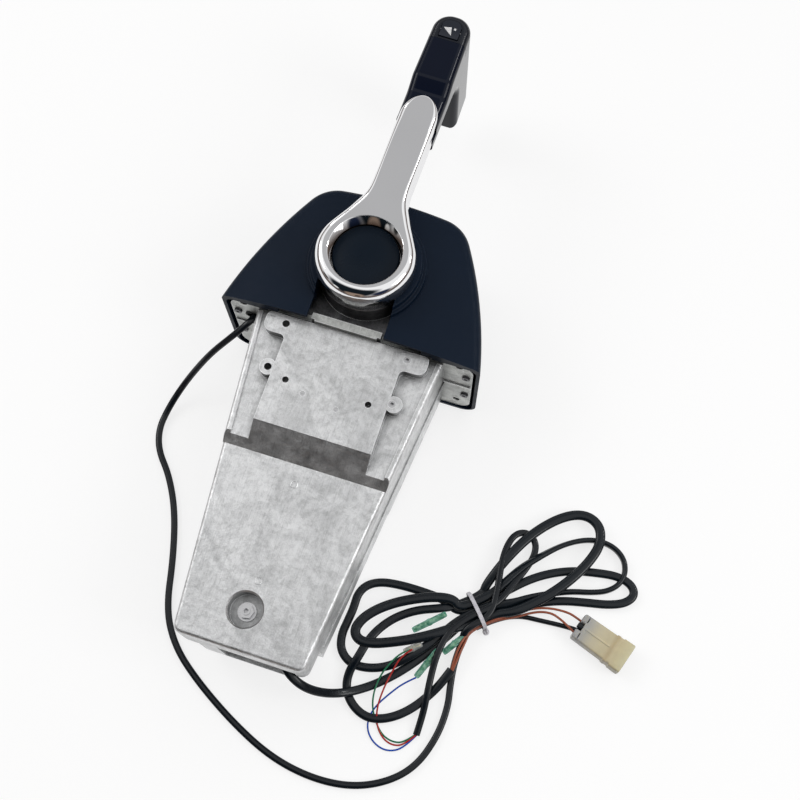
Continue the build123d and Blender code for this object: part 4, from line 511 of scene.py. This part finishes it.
loom_pvc = insulation("loom_black_pvc", (0.0035, 0.0065, 0.0100))
loom_size = 0.0070
loom_section = oval_section("loom_profile", loom_size, 0.0045)
loom_route = [
    (17, -246, 46), (30, -262.5, 45.5), (44, -271, 40), (58, -272, 27), (74, -267, 12),
    (92, -256, 4.5), (109, -241, 3.6), (122, -226, 3.6), (134, -209, 4), (143, -195, 4),
    at_tie(3.5, 4.4, -14), at_tie(3.5, 4.4, 13),
    # flat turn of the right lobe
    (184, -160, 4), (203, -149, 3.6), (221, -141.5, 3.6), (240, -137, 3.6), (257, -133.5, 3.6),
    (270, -128, 3.6), (276, -119.5, 3.6), (271, -111.5, 3.6), (258, -108.5, 3.6), (242, -111, 3.6),
    (224, -115, 3.8), (207, -122.5, 4), (192, -132.5, 4.2), (178, -146, 4.4),
    at_tie(-3.5, 4.4, 14), at_tie(-3.5, 4.4, -13),
    # outer turn of the left lobe
    (131, -170, 5), (111, -169, 4.4), (92, -169.5, 4), (77, -172, 4), (67, -178, 4), (62.5, -187, 4),
    (63, -198, 4), (62, -209, 4), (60.5, -222, 4), (64, -234, 4), (75, -241.5, 4), (90, -240.5, 4.4),
    (105, -234, 6), (117, -223, 8.6), (128, -210, 9.4), (137, -197, 9.4),
    at_tie(0.5, 9.3, -14), at_tie(0.5, 9.3, 13),
    # turn of the right lobe that lies on its edge
    (183, -157, 9, 30), (197, -147, 8, 60), (213, -138, 6, 80), (227, -132, 4.6, 85),
    (242, -128, 4.2, 90), (254, -123, 4.2, 90), (262, -114.5, 4.2, 90), (264, -104, 4.2, 90),
    (260, -93.5, 4.2, 90), (250, -86.5, 4.2, 90), (237, -85, 4.4, 90), (224, -88.5, 5, 85),
    (209, -98, 6, 80), (195, -112, 7, 60), (182, -127, 8, 40), (171, -146, 9, 20),
    at_tie(-7, 9.3, 15), at_tie(-7, 9.3, -12),
    # full sleeve round the left lobe
    (138, -168, 10.4, 0, 1.1), (123, -171, 11, 0, 1.15), (107, -178, 11, 0, 1.15),
    (93, -186, 11, 0, 1.15), (81, -195.5, 11, 0, 1.15), (72.5, -206, 10.6, 0, 1.15),
    (69.5, -216, 10, 0, 1.15), (75, -222.5, 10, 0, 1.15), (86, -222, 10.4, 0, 1.15),
    (100, -216.5, 11, 0, 1.15), (116, -209, 12.4, 0, 1.15), (131, -200, 13.4, 0, 1.15),
    (142, -192, 12.6, 0, 1.1), at_tie(8, 9.3, -11), at_tie(8, 9.3, 12),
    # full sleeve round the right lobe
    (187, -163, 10.4, 0, 1.15), (201, -150.5, 11, 0, 1.15), (214, -136.5, 11, 0, 1.15),
    (225, -121, 10.6, 0, 1.15), (233.5, -105, 10.2, 0, 1.15), (238, -90, 9.6, 0, 1.15),
    (235.5, -77, 9, 0, 1.15), (227, -70, 8.6, 0, 1.15), (216, -69.5, 8.4, 0, 1.15),
    (204, -75.5, 8.4, 0, 1.15), (192, -86.5, 9, 0, 1.15), (180.5, -101.5, 10, 0, 1.15),
    (171.5, -118, 10.4, 0, 1.15), (164.5, -134, 9, 0, 1.1), (159, -149, 6, 0, 1.05),
    at_tie(-10.5, 4.4, 11), at_tie(-10.5, 4.4, -12),
    # small low turn at the end of the sleeve
    (130, -178, 7.6), (112, -185, 6.6), (97, -196, 5.6), (87, -209, 5), (82, -222, 8.4), (79.5, -234, 8.8),
    (75.5, -248, 5), (77.5, -261, 3.2), (86, -271, 3.2), (98, -276.5, 3.2), (110, -275, 3.2),
    (122, -268.5, 3.2), (132.5, -258.5, 3.2), (141, -246.5, 3.4), (148, -234, 5.4), (152.5, -221.5, 7.4)]
loom = cord_curve("loom_harness", loom_route, loom_size, loom_pvc, loom_section)
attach(loom, "control_box")
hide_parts("main_harness", "harness_hank")

# ---------------------------------------------------------------- trim lead
# A narrower flat lead comes out under the dome's left end, lies round the housing, doubles
# through the hank and ends where its three coloured wires come out.
trim_pvc = insulation("trim_black_pvc", (0.0035, 0.0055, 0.0085), 0.2)
trim_size = 0.0055
trim_section = oval_section("trim_profile", trim_size, 0.0038)
trim_route = [
    (-84, 3, 74), (-81, -9, 76), (-87, -20, 75), (-97, -30, 66), (-112, -42.5, 50), (-126, -57, 29),
    (-136, -71, 12.5), (-141.5, -88, 5.2), (-143, -106, 3), (-136, -124, 3), (-120, -141, 3),
    (-104, -168, 3), (-91, -205, 3), (-81, -246, 3), (-64, -271, 3), (-39, -290, 3), (-1, -311.5, 3),
    (37, -327.5, 3), (72, -333, 3), (104, -330, 3), (130, -318, 3), (148, -300, 3), (157, -274, 3),
    (158.5, -250, 3), (155, -232, 2.6), (153, -215, 3), (154, -199, 8), at_tie(9.5, 13, -15),
    at_tie(9, 13.2, 8), (169, -150, 12.6), (166, -130, 11), (166, -113, 9), (170, -101, 7.4),
    (179, -96.5, 6), (188, -102, 5), (190, -113, 5), (186, -127, 6), (180, -141, 9),
    at_tie(2.6, 13.2, 17), at_tie(2.2, 13.2, -10), (141, -196, 14), (138, -214, 13), (138.5, -230, 10.5),
    (140, -246, 9), (141.5, -262, 5), (141.2, -277.3, 3)]
trim_lead = cord_curve("trim_lead_cord", trim_route, trim_size, trim_pvc, trim_section)
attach(trim_lead, "control_box")
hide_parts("trim_lead")

# ---------------------------------------------------------------- fine wires
# Three signal wires from the trim lead and the supply wires to the connector.
thin_wires = {
    "wire_green": ((0.010, 0.16, 0.07), [(141.3, -276, 3), (134, -285.5, 1.2), (125.3, -288, 1),
                   (115.8, -285.5, 1), (107.5, -277.3, 1.4), (101.6, -267.2, 7), (99.4, -255.3, 8.4),
                   (100.7, -242.3, 9), (105.1, -231.4, 11), (110.7, -222, 12.6), (117, -217, 13)]),
    "wire_red": ((0.42, 0.02, 0.015), [(141.8, -276, 3.4), (134.5, -287.3, 1.2), (126.1, -290.4, 1),
                 (117.3, -288, 1), (109.4, -280, 1.4), (105.6, -267.6, 7.4), (106, -252.1, 8.6),
                 (108.6, -237.2, 10), (111.6, -224, 12.8), (118.6, -216.6, 13.8)]),
    "wire_blue": ((0.010, 0.07, 0.42), [(141.9, -276.4, 2.6), (135.2, -289.2, 1), (125.1, -295.5, 0.9),
                  (114.5, -294.8, 0.9), (105.1, -288.2, 1), (101.2, -278.4, 1.6), (104, -266.5, 6.6),
                  (112.8, -252.5, 8), (120.1, -242.8, 8.6), (128, -236, 9.4)])}
for wire_name, (wire_colour, wire_route) in thin_wires.items():
    wire = cord_curve(wire_name, wire_route, 0.0014,
                      insulation(wire_name + "_pvc", wire_colour, 0.3, 0.00003))
    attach(wire, "control_box")
supply_brown = insulation("supply_wire_brown_pvc", (0.30, 0.085, 0.045), 0.32, 0.00005)
supply_routes = {
    "supply_wire_near": [(152.4, -222, 7.4), (152, -210, 11), (154, -198, 12.6), at_tie(12.3, 9.6, -12),
                         at_tie(12.3, 9.6, 10), (186, -165.5, 9.6), (200, -155.5, 8.6), (213, -151, 8.6),
                         (226, -150, 9.2), (234, -151.4, 9.6), (243, -155, 9.6)],
    "supply_wire_far": [(153.4, -222.6, 7.4), (154.6, -211, 10.6), (156.4, -199, 11.6),
                        at_tie(12.6, 7.2, -12), at_tie(12.6, 7.2, 10), (188, -167, 7.4), (203, -157, 6.8),
                        (215, -154, 7), (224, -156.8, 7.4), (232, -161, 8), (240, -165.4, 8.4)]}
for wire_name, wire_route in supply_routes.items():
    wire = cord_curve(wire_name, wire_route, 0.0019, supply_brown)
    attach(wire, "control_box")
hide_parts("connector_wires")
supply_black = cord_curve("supply_lead_black", [at_tie(12, 4.4, -6), at_tie(12, 4.4, 12),
                                                (191.9, -163.4, 3), (208.8, -162, 2.6),
                                                (225.8, -160.8, 4.6), (238, -160.8, 6.4), (247, -161.4, 6.4)],
                          0.0040, trim_pvc)
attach(supply_black, "control_box")

# ---------------------------------------------------------------- tie
# A white nylon tie holds the hank: a toothed strap pulled tight round the bundle, its locking head
# below and its trimmed tail.
tie_nylon, tree, shader = start_material("tie_nylon", Subsurface_Weight=0.3, Subsurface_Radius=(0.003,) * 3)
tree.links.new(ramp(tree, object_noise(tree, 300, 2), [(0.3, (0.60, 0.59, 0.64)), (0.7, (0.78, 0.77, 0.80))]),
               shader.inputs["Base Color"])
tree.links.new(ramp(tree, object_noise(tree, 500, 2), [(0.3, 0.26), (0.7, 0.42)]), shader.inputs["Roughness"])
strap_half, strap_depth = 1.6, 1.1


def tight_loop(corners, rounds=4):
    """Closed loop that cuts the polygon's corners at a quarter of each side, again and again."""
    loop = np.array(corners, float)
    for _ in range(rounds):
        ahead = np.roll(loop, -1, axis=0)
        loop = np.stack([0.75 * loop + 0.25 * ahead, 0.25 * loop + 0.75 * ahead], 1).reshape(-1, 2)
    return loop


path = tight_loop([(15.6, 0.6), (15.4, 13.2), (8, 16.6), (-1, 16.4), (-11.6, 13.4), (-15.6, 8.6),
                   (-15.4, 0.6)])
tangent = np.roll(path, -1, axis=0) - np.roll(path, 1, axis=0)
outward = np.stack([tangent[:, 1], -tangent[:, 0]], 1) / np.linalg.norm(tangent, axis=1)[:, None]
teeth = 0.12 * (np.arange(len(path)) % 2)
profile = [(0.1, -strap_half), (strap_depth - 0.3, -strap_half), (strap_depth, 0.3 - strap_half),
           (strap_depth, strap_half - 0.3), (strap_depth - 0.3, strap_half), (0.1, strap_half)]
rings = np.array([[at_tie(*(p + n * depth), along) for depth, along in profile]
                  for p, n in zip(path, outward)])
rings[:, 3:5] += (teeth[:, None] * np.array([0, 0, 1]))[:, None]
count, sides = rings.shape[:2]
row, column = np.meshgrid(np.arange(count), np.arange(sides), indexing="ij")
corner = [(row * sides + column) % (count * sides), (row * sides + (column + 1) % sides),
          ((row + 1) % count * sides + (column + 1) % sides), ((row + 1) % count * sides + column)]
tie_strap = add_mesh("tie_strap", rings.reshape(-1, 3) * MM,
                     np.stack(corner, -1).reshape(-1, 4)[:, ::-1].tolist(), tie_nylon)
tie_head = loft([[(0, 1.6, 1.6, 1.2), (0.5, 2.3, 2.2, 1.6), (2.4, 2.7, 2.6, 2.1), (4.4, 2.5, 2.4, 2.0),
                  (5.2, 1.5, 1.5, 1.2)],
                 [(3.6, 1.6, 0.5, 0.3, 0, 0.3), (8.2, 1.6, 0.5, 0.3, 0, 0.9), (8.4, 1.3, 0.3, 0.2, 0, 0.9)]],
                tie_nylon, "tie_head", np.array(at_tie(17.6, 2.2, 0)) * MM, (0.05, -0.1, 1),
                up=(math.cos(tie_turn), math.sin(tie_turn), 0))
for piece in (tie_strap, tie_head):
    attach(piece, "control_box")
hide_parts("cable_tie")

# ---------------------------------------------------------------- connector
# The plug shell is unpigmented nylon that has yellowed: milky at the wires' end, cream beyond,
# with a wider mouth, a latch in the notch of its wires' end and three pins inside.
connector_turn = math.radians(-18.5)
connector_ahead = (math.cos(connector_turn), math.sin(connector_turn), 0)
connector_start = (0.2380, -0.1577, 0.008)
nylon, tree, shader = start_material("connector_nylon", Subsurface_Weight=0.35,
                                     Subsurface_Radius=(0.006, 0.005, 0.003), Roughness=0.33)
shader.inputs["Specular IOR Level"].default_value = 0.35
place = tree.nodes.new("ShaderNodeTexCoord")
along = tree.nodes.new("ShaderNodeVectorMath")
along.operation = "DOT_PRODUCT"
along.inputs[1].default_value = connector_ahead
tree.links.new(place.outputs["Object"], along.inputs[0])
reach = tree.nodes.new("ShaderNodeMapRange")
first = Vector(connector_start).dot(Vector(connector_ahead))
reach.inputs["From Min"].default_value = first
reach.inputs["From Max"].default_value = first + 0.046
tree.links.new(along.outputs["Value"], reach.inputs["Value"])
# yellowing of the nylon along the shell, with painted shade: the darker band about two thirds along stands in
# for the shade of the shell's inner floor seen through the nylon
yellowing_and_painted_shade = ramp(tree, reach.outputs["Result"],
                [(0.0, (0.42, 0.42, 0.42)), (0.17, (0.47, 0.46, 0.42)), (0.34, (0.64, 0.58, 0.42)),
                 (0.60, (0.66, 0.58, 0.38)), (0.68, (0.56, 0.46, 0.28)), (0.74, (0.66, 0.57, 0.36)),
                 (1.0, (0.70, 0.65, 0.42))])
yellowing_and_painted_shade = blend_colours(tree, 0.35, yellowing_and_painted_shade, ramp(tree, object_noise(tree, 130, 4, 0.6),
                                                    [(0.35, 0.8), (0.65, 1.0)]), "MULTIPLY")
tree.links.new(blend_colours(tree, edge_wear(tree, 0.0006, 2), yellowing_and_painted_shade, (0.72, 0.68, 0.55)),
               shader.inputs["Base Color"])
bump(tree, shader, object_noise(tree, 900, 3), 0.00003)
shell = [(4.2, 10.4, 7.1, 1.4), (4.4, 10.9, 7.5, 1.6), (12, 11.0, 7.5, 1.6), (29.6, 11.3, 7.5, 1.6),
         (30.2, 12.0, 7.9, 1.6), (32.6, 12.1, 7.9, 1.6), (33.0, 11.7, 7.8, 1.6), (35.8, 11.8, 7.8, 1.6),
         (36.2, 12.6, 8.0, 1.8), (44.9, 12.7, 8.0, 1.8), (45.8, 12.3, 7.6, 1.8), (46, 10.6, 6.2, 1.4),
         (45.4, 10.1, 5.6, 1.2), (25.6, 10.0, 5.5, 1.0)]
fingers = [[(0, 2.6, 6.6, 1.2, shift * 0.92, 0), (0.6, 3.5, 7.3, 1.5, shift * 0.97, 0),
            (1.6, 3.8, 7.5, 1.6, shift, 0), (5.2, 3.8, 7.5, 1.6, shift, 0)] for shift in (-7.1, 7.1)]
sill = [(0.4, 4.4, 2.4, 0.4, 0, -4.8), (5.0, 4.4, 2.6, 0.4, 0, -4.8)]
rail = [(6, 0.7, 0.5, 0.2, 0, 7.6), (29, 0.7, 0.5, 0.2, 0, 7.6)]
connector = loft([shell, *fingers, sill, rail], nylon, "connector_shell", connector_start, connector_ahead)
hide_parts("connector")
latch_black = moulded_plastic("latch_black", (0.010, 0.012, 0.014), 0.4)
latch = loft([[(-0.6, 1.7, 2.0, 0.5, 0.6, 2.6), (0, 2.0, 2.3, 0.6, 0.6, 2.8), (3.4, 2.0, 2.3, 0.6, 0.6, 2.8),
               (4.3, 1.8, 2.0, 0.5, 0.6, 2.8)]], latch_black, "connector_latch", connector_start,
             connector_ahead)
pin_metal = brushed_metal("pin_tin", (0.70, 0.68, 0.62), 0.3)
pins = loft([[(24, 1.0, 1.0, 1.0, shift, 0), (31, 1.0, 1.0, 1.0, shift, 0), (32, 0.5, 0.5, 0.5, shift, 0)]
             for shift in (-5.5, 0, 5.5)], pin_metal, "connector_pins", connector_start, connector_ahead)
for piece in (connector, latch, pins):
    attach(piece, "control_box")

# ---------------------------------------------------------------- bullet joints
# The signal wires meet in bullet joints: a brass barrel in a clear or green vinyl sleeve.
brass = brushed_metal("joint_brass", (0.62, 0.47, 0.20), 0.25)
sleeve_paths = {"sleeve_green_upper": ((114.1, -202.2, 12), (135.7, -181.5, 13)),
                "sleeve_green_lower": ((127.5, -235.7, 8), (137.7, -210.1, 9)),
                "sleeve_green_tie": ((142.4, -211.3, 9), (155.6, -191.5, 10)),
                "sleeve_clear": ((112.5, -220.2, 11), (124.5, -210.2, 11))}
for sleeve_name, (foot, head) in sleeve_paths.items():
    vinyl, tree, shader = start_material(sleeve_name + "_vinyl", Transmission_Weight=0.55, IOR=1.42)
    dark, light = (0.10, 0.42, 0.28), (0.42, 0.86, 0.70)
    if sleeve_name == "sleeve_clear":
        dark, light = (0.55, 0.60, 0.56), (0.90, 0.93, 0.90)
    tree.links.new(ramp(tree, object_noise(tree, 260, 4, 0.6), [(0.40, dark), (0.58, light)]),
                   shader.inputs["Base Color"])
    tree.links.new(ramp(tree, object_noise(tree, 200, 3), [(0.3, 0.08), (0.7, 0.25)]),
                   shader.inputs["Roughness"])
    bump(tree, shader, object_noise(tree, 330, 3), 0.0002, 0.6)
    reach = (Vector(head) - Vector(foot)).length
    # (along, radius) stations; a rounded rectangle whose halves equal its round is a circle
    sleeve_rows = [(0, 1.7), (0.5, 2.2), (2.5, 2.5), (reach * 0.42, 2.6), (reach * 0.5, 3.0),
                   (reach * 0.56, 2.6), (reach - 2.5, 2.4), (reach - 0.4, 2.1), (reach, 1.6)]
    barrel_rows = [(1.0, 0.8), (3, 1.3), (reach - 3, 1.3), (reach - 1, 0.8)]
    sleeve, barrel = (loft([[(at, r, r, r) for at, r in rows]], material, name, Vector(foot) * MM,
                           Vector(head) - Vector(foot))
                      for rows, material, name in ((sleeve_rows, vinyl, sleeve_name),
                                                   (barrel_rows, brass, sleeve_name + "_barrel")))
    for piece in (sleeve, barrel):
        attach(piece, "control_box")

# ---------------------------------------------------------------- rocker mark
# White arrow head and dot printed on the trim rocker's hollow face.
mark_white, tree, shader = start_material("mark_white", Roughness=0.5)
tree.links.new(ramp(tree, object_noise(tree, 900, 2), [(0.35, 0.62), (0.65, 0.9)]),
               shader.inputs["Base Color"])
rocker_middle = 250.66
grain = 6


def printed(corners):
    """Grid over a four-cornered patch, laid 0.05 mm over the rocker's face 145.3 + 0.7 (v / 8)^2."""
    a, b, c, d = (np.array(corner, float) for corner in corners)
    u, v = np.meshgrid(np.linspace(0, 1, grain), np.linspace(0, 1, grain), indexing="ij")
    flat = ((1 - u) * (1 - v))[..., None] * a + (u * (1 - v))[..., None] * b + (u * v)[..., None] * c \
        + ((1 - u) * v)[..., None] * d
    level = 145.35 + 0.7 * ((flat[..., 1] - rocker_middle) / 8) ** 2
    return np.concatenate([flat, level[..., None]], -1).reshape(-1, 3)


patches = [printed([(-4.9, 251.6), (3.0, 244.9), (1.4, 253.0), (-1.6, 252.3)]),
           printed([(3.6, 251.0), (5.3, 250.7), (5.6, 252.5), (3.9, 252.8)])]
first = np.arange(grain * grain).reshape(grain, grain)[:-1, :-1].ravel()
cells = np.stack([first, first + grain, first + grain + 1, first + 1], 1)
rocker_mark = add_mesh("rocker_mark", np.concatenate(patches) * MM,
                       np.concatenate([cells, cells + grain * grain]).tolist(), mark_white)
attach(rocker_mark, "rocker")

# ---------------------------------------------------------------- stage, light and camera
# The control lies on white paper under a bright sky with a few dark and bright patches that the
# chrome and the castings mirror, and two weak soft lamps. The camera sees the empty sky as white.
bpy.ops.mesh.primitive_plane_add(size=30, location=(0, 0, -0.0002))
floor = bpy.context.object
floor.name = "studio_floor"
paper = bpy.data.materials.new("white_paper")
paper.use_nodes = True
tree = paper.node_tree
output, shader = tree.nodes["Material Output"], tree.nodes["Principled BSDF"]
shader.inputs["Base Color"].default_value = (0.30, 0.30, 0.30, 1)
shader.inputs["Roughness"].default_value = 0.9
shader.inputs["Specular IOR Level"].default_value = 0.0
seen = tree.nodes.new("ShaderNodeLightPath")
either = tree.nodes.new("ShaderNodeMath")
either.operation = "MAXIMUM"
tree.links.new(seen.outputs["Is Camera Ray"], either.inputs[0])
tree.links.new(seen.outputs["Is Glossy Ray"], either.inputs[1])
lift = tree.nodes.new("ShaderNodeEmission")
tree.links.new(either.outputs["Value"], lift.inputs["Strength"])
both = tree.nodes.new("ShaderNodeAddShader")
tree.links.new(shader.outputs["BSDF"], both.inputs[0])
tree.links.new(lift.outputs["Emission"], both.inputs[1])
tree.links.new(both.outputs["Shader"], output.inputs["Surface"])
lift.inputs["Color"].default_value = (0.741, 0.741, 0.741, 1)
floor.data.materials.append(paper)

world = bpy.data.worlds.new("studio")
bpy.context.scene.world = world
world.use_nodes = True
tree = world.node_tree
sky = tree.nodes["Background"]
place = tree.nodes.new("ShaderNodeTexCoord")
height = tree.nodes.new("ShaderNodeSeparateXYZ")
tree.links.new(place.outputs["Generated"], height.inputs["Vector"])
gradient = ramp(tree, height.outputs["Z"], [(0.0, (0.10, 0.09, 0.09)), (0.22, (0.17, 0.13, 0.11)),
                                            (0.40, (0.62, 0.61, 0.61)), (0.60, 1.0)])


def sky_patch(under, direction, inner, outer, colour):
    """Soft round patch over the colours `under`; its edge fades from inner to outer degrees."""
    toward = tree.nodes.new("ShaderNodeVectorMath")
    toward.operation = "DOT_PRODUCT"
    toward.inputs[1].default_value = Vector(direction).normalized()
    tree.links.new(place.outputs["Generated"], toward.inputs[0])
    spread = tree.nodes.new("ShaderNodeMapRange")
    spread.interpolation_type = "SMOOTHSTEP"
    spread.inputs["From Min"].default_value = math.cos(math.radians(outer))
    spread.inputs["From Max"].default_value = math.cos(math.radians(inner))
    tree.links.new(toward.outputs["Value"], spread.inputs["Value"])
    return blend_colours(tree, spread.outputs["Result"], under, colour)


for direction, inner, outer, colour in (
        ((-0.165, 0.47, 0.868), 11, 18, (0.50, 0.50, 0.505)),   # what the flat chrome mirrors
        ((-0.14, -0.68, 0.72), 27, 42, (0.008, 0.012, 0.016)),  # what the castings' slopes mirror
        # the rest is what the bore's wall and the ring's shoulder mirror
        ((0.62, -0.66, 0.42), 9, 20, (0.014, 0.022, 0.05)),
        ((-0.80, -0.45, 0.40), 4, 9, (0.03, 0.03, 0.03)),
        ((-0.55, -0.75, 0.36), 3, 7, (0.9, 0.9, 0.88)),
        ((-0.05, -0.93, 0.34), 11, 18, (0.30, 0.22, 0.17)),
        ((0.03, -0.97, 0.26), 3, 6, (0.01, 0.01, 0.01))):
    gradient = sky_patch(gradient, direction, inner, outer, colour)
# two bright windows that only mirrors see: the streaks along the grip's edges and the cords
window = sky_patch((0, 0, 0), (0.62, 0.50, 0.60), 3, 5, (14, 14, 14))
window = sky_patch(window, (-0.62, 0.62, 0.48), 2, 3.5, (9, 9, 9))
mirrored = tree.nodes.new("ShaderNodeLightPath")
window = blend_colours(tree, mirrored.outputs["Is Glossy Ray"], (0, 0, 0), window)
gradient = blend_colours(tree, 1.0, gradient, window, "ADD")
gradient = blend_colours(tree, mirrored.outputs["Is Camera Ray"], gradient, (0.98, 0.98, 0.98))
tree.links.new(gradient, sky.inputs["Color"])
sky.inputs["Strength"].default_value = 1.0


def soft_light(name, place, target, size, power):
    """Square area light that faces a point."""
    lamp = bpy.data.lights.new(name, "AREA")
    lamp.size = size
    lamp.energy = power
    light = bpy.data.objects.new(name, lamp)
    bpy.context.scene.collection.objects.link(light)
    light.location = place
    light.rotation_euler = (Vector(target) - Vector(place)).to_track_quat("-Z", "Y").to_euler()


soft_light("left_soft", (-1.35, 0.25, 1.35), (0, -0.05, 0), 0.7, 5)
soft_light("right_soft", (1.45, -0.1, 1.2), (0, -0.05, 0), 0.7, 6)

camera = bpy.data.objects.new("camera", bpy.data.cameras.new("camera"))
bpy.context.scene.collection.objects.link(camera)
# the camera's own right, up and forward directions, then its lens
right, up, forward = (0.95088, 0.30933, -0.01158), (-0.28979, 0.90272, 0.31800), (-0.10883, 0.29903, -0.94802)
camera.matrix_world = Matrix([(r, u, -f, p) for r, u, f, p in
                              zip(right, up, forward, (0.15614, -0.32751, 0.98181))] + [(0, 0, 0, 1)])
camera.data.lens = 54.44
camera.data.sensor_width = 36
bpy.context.scene.camera = camera
bpy.context.scene.view_settings.view_transform = "Standard"
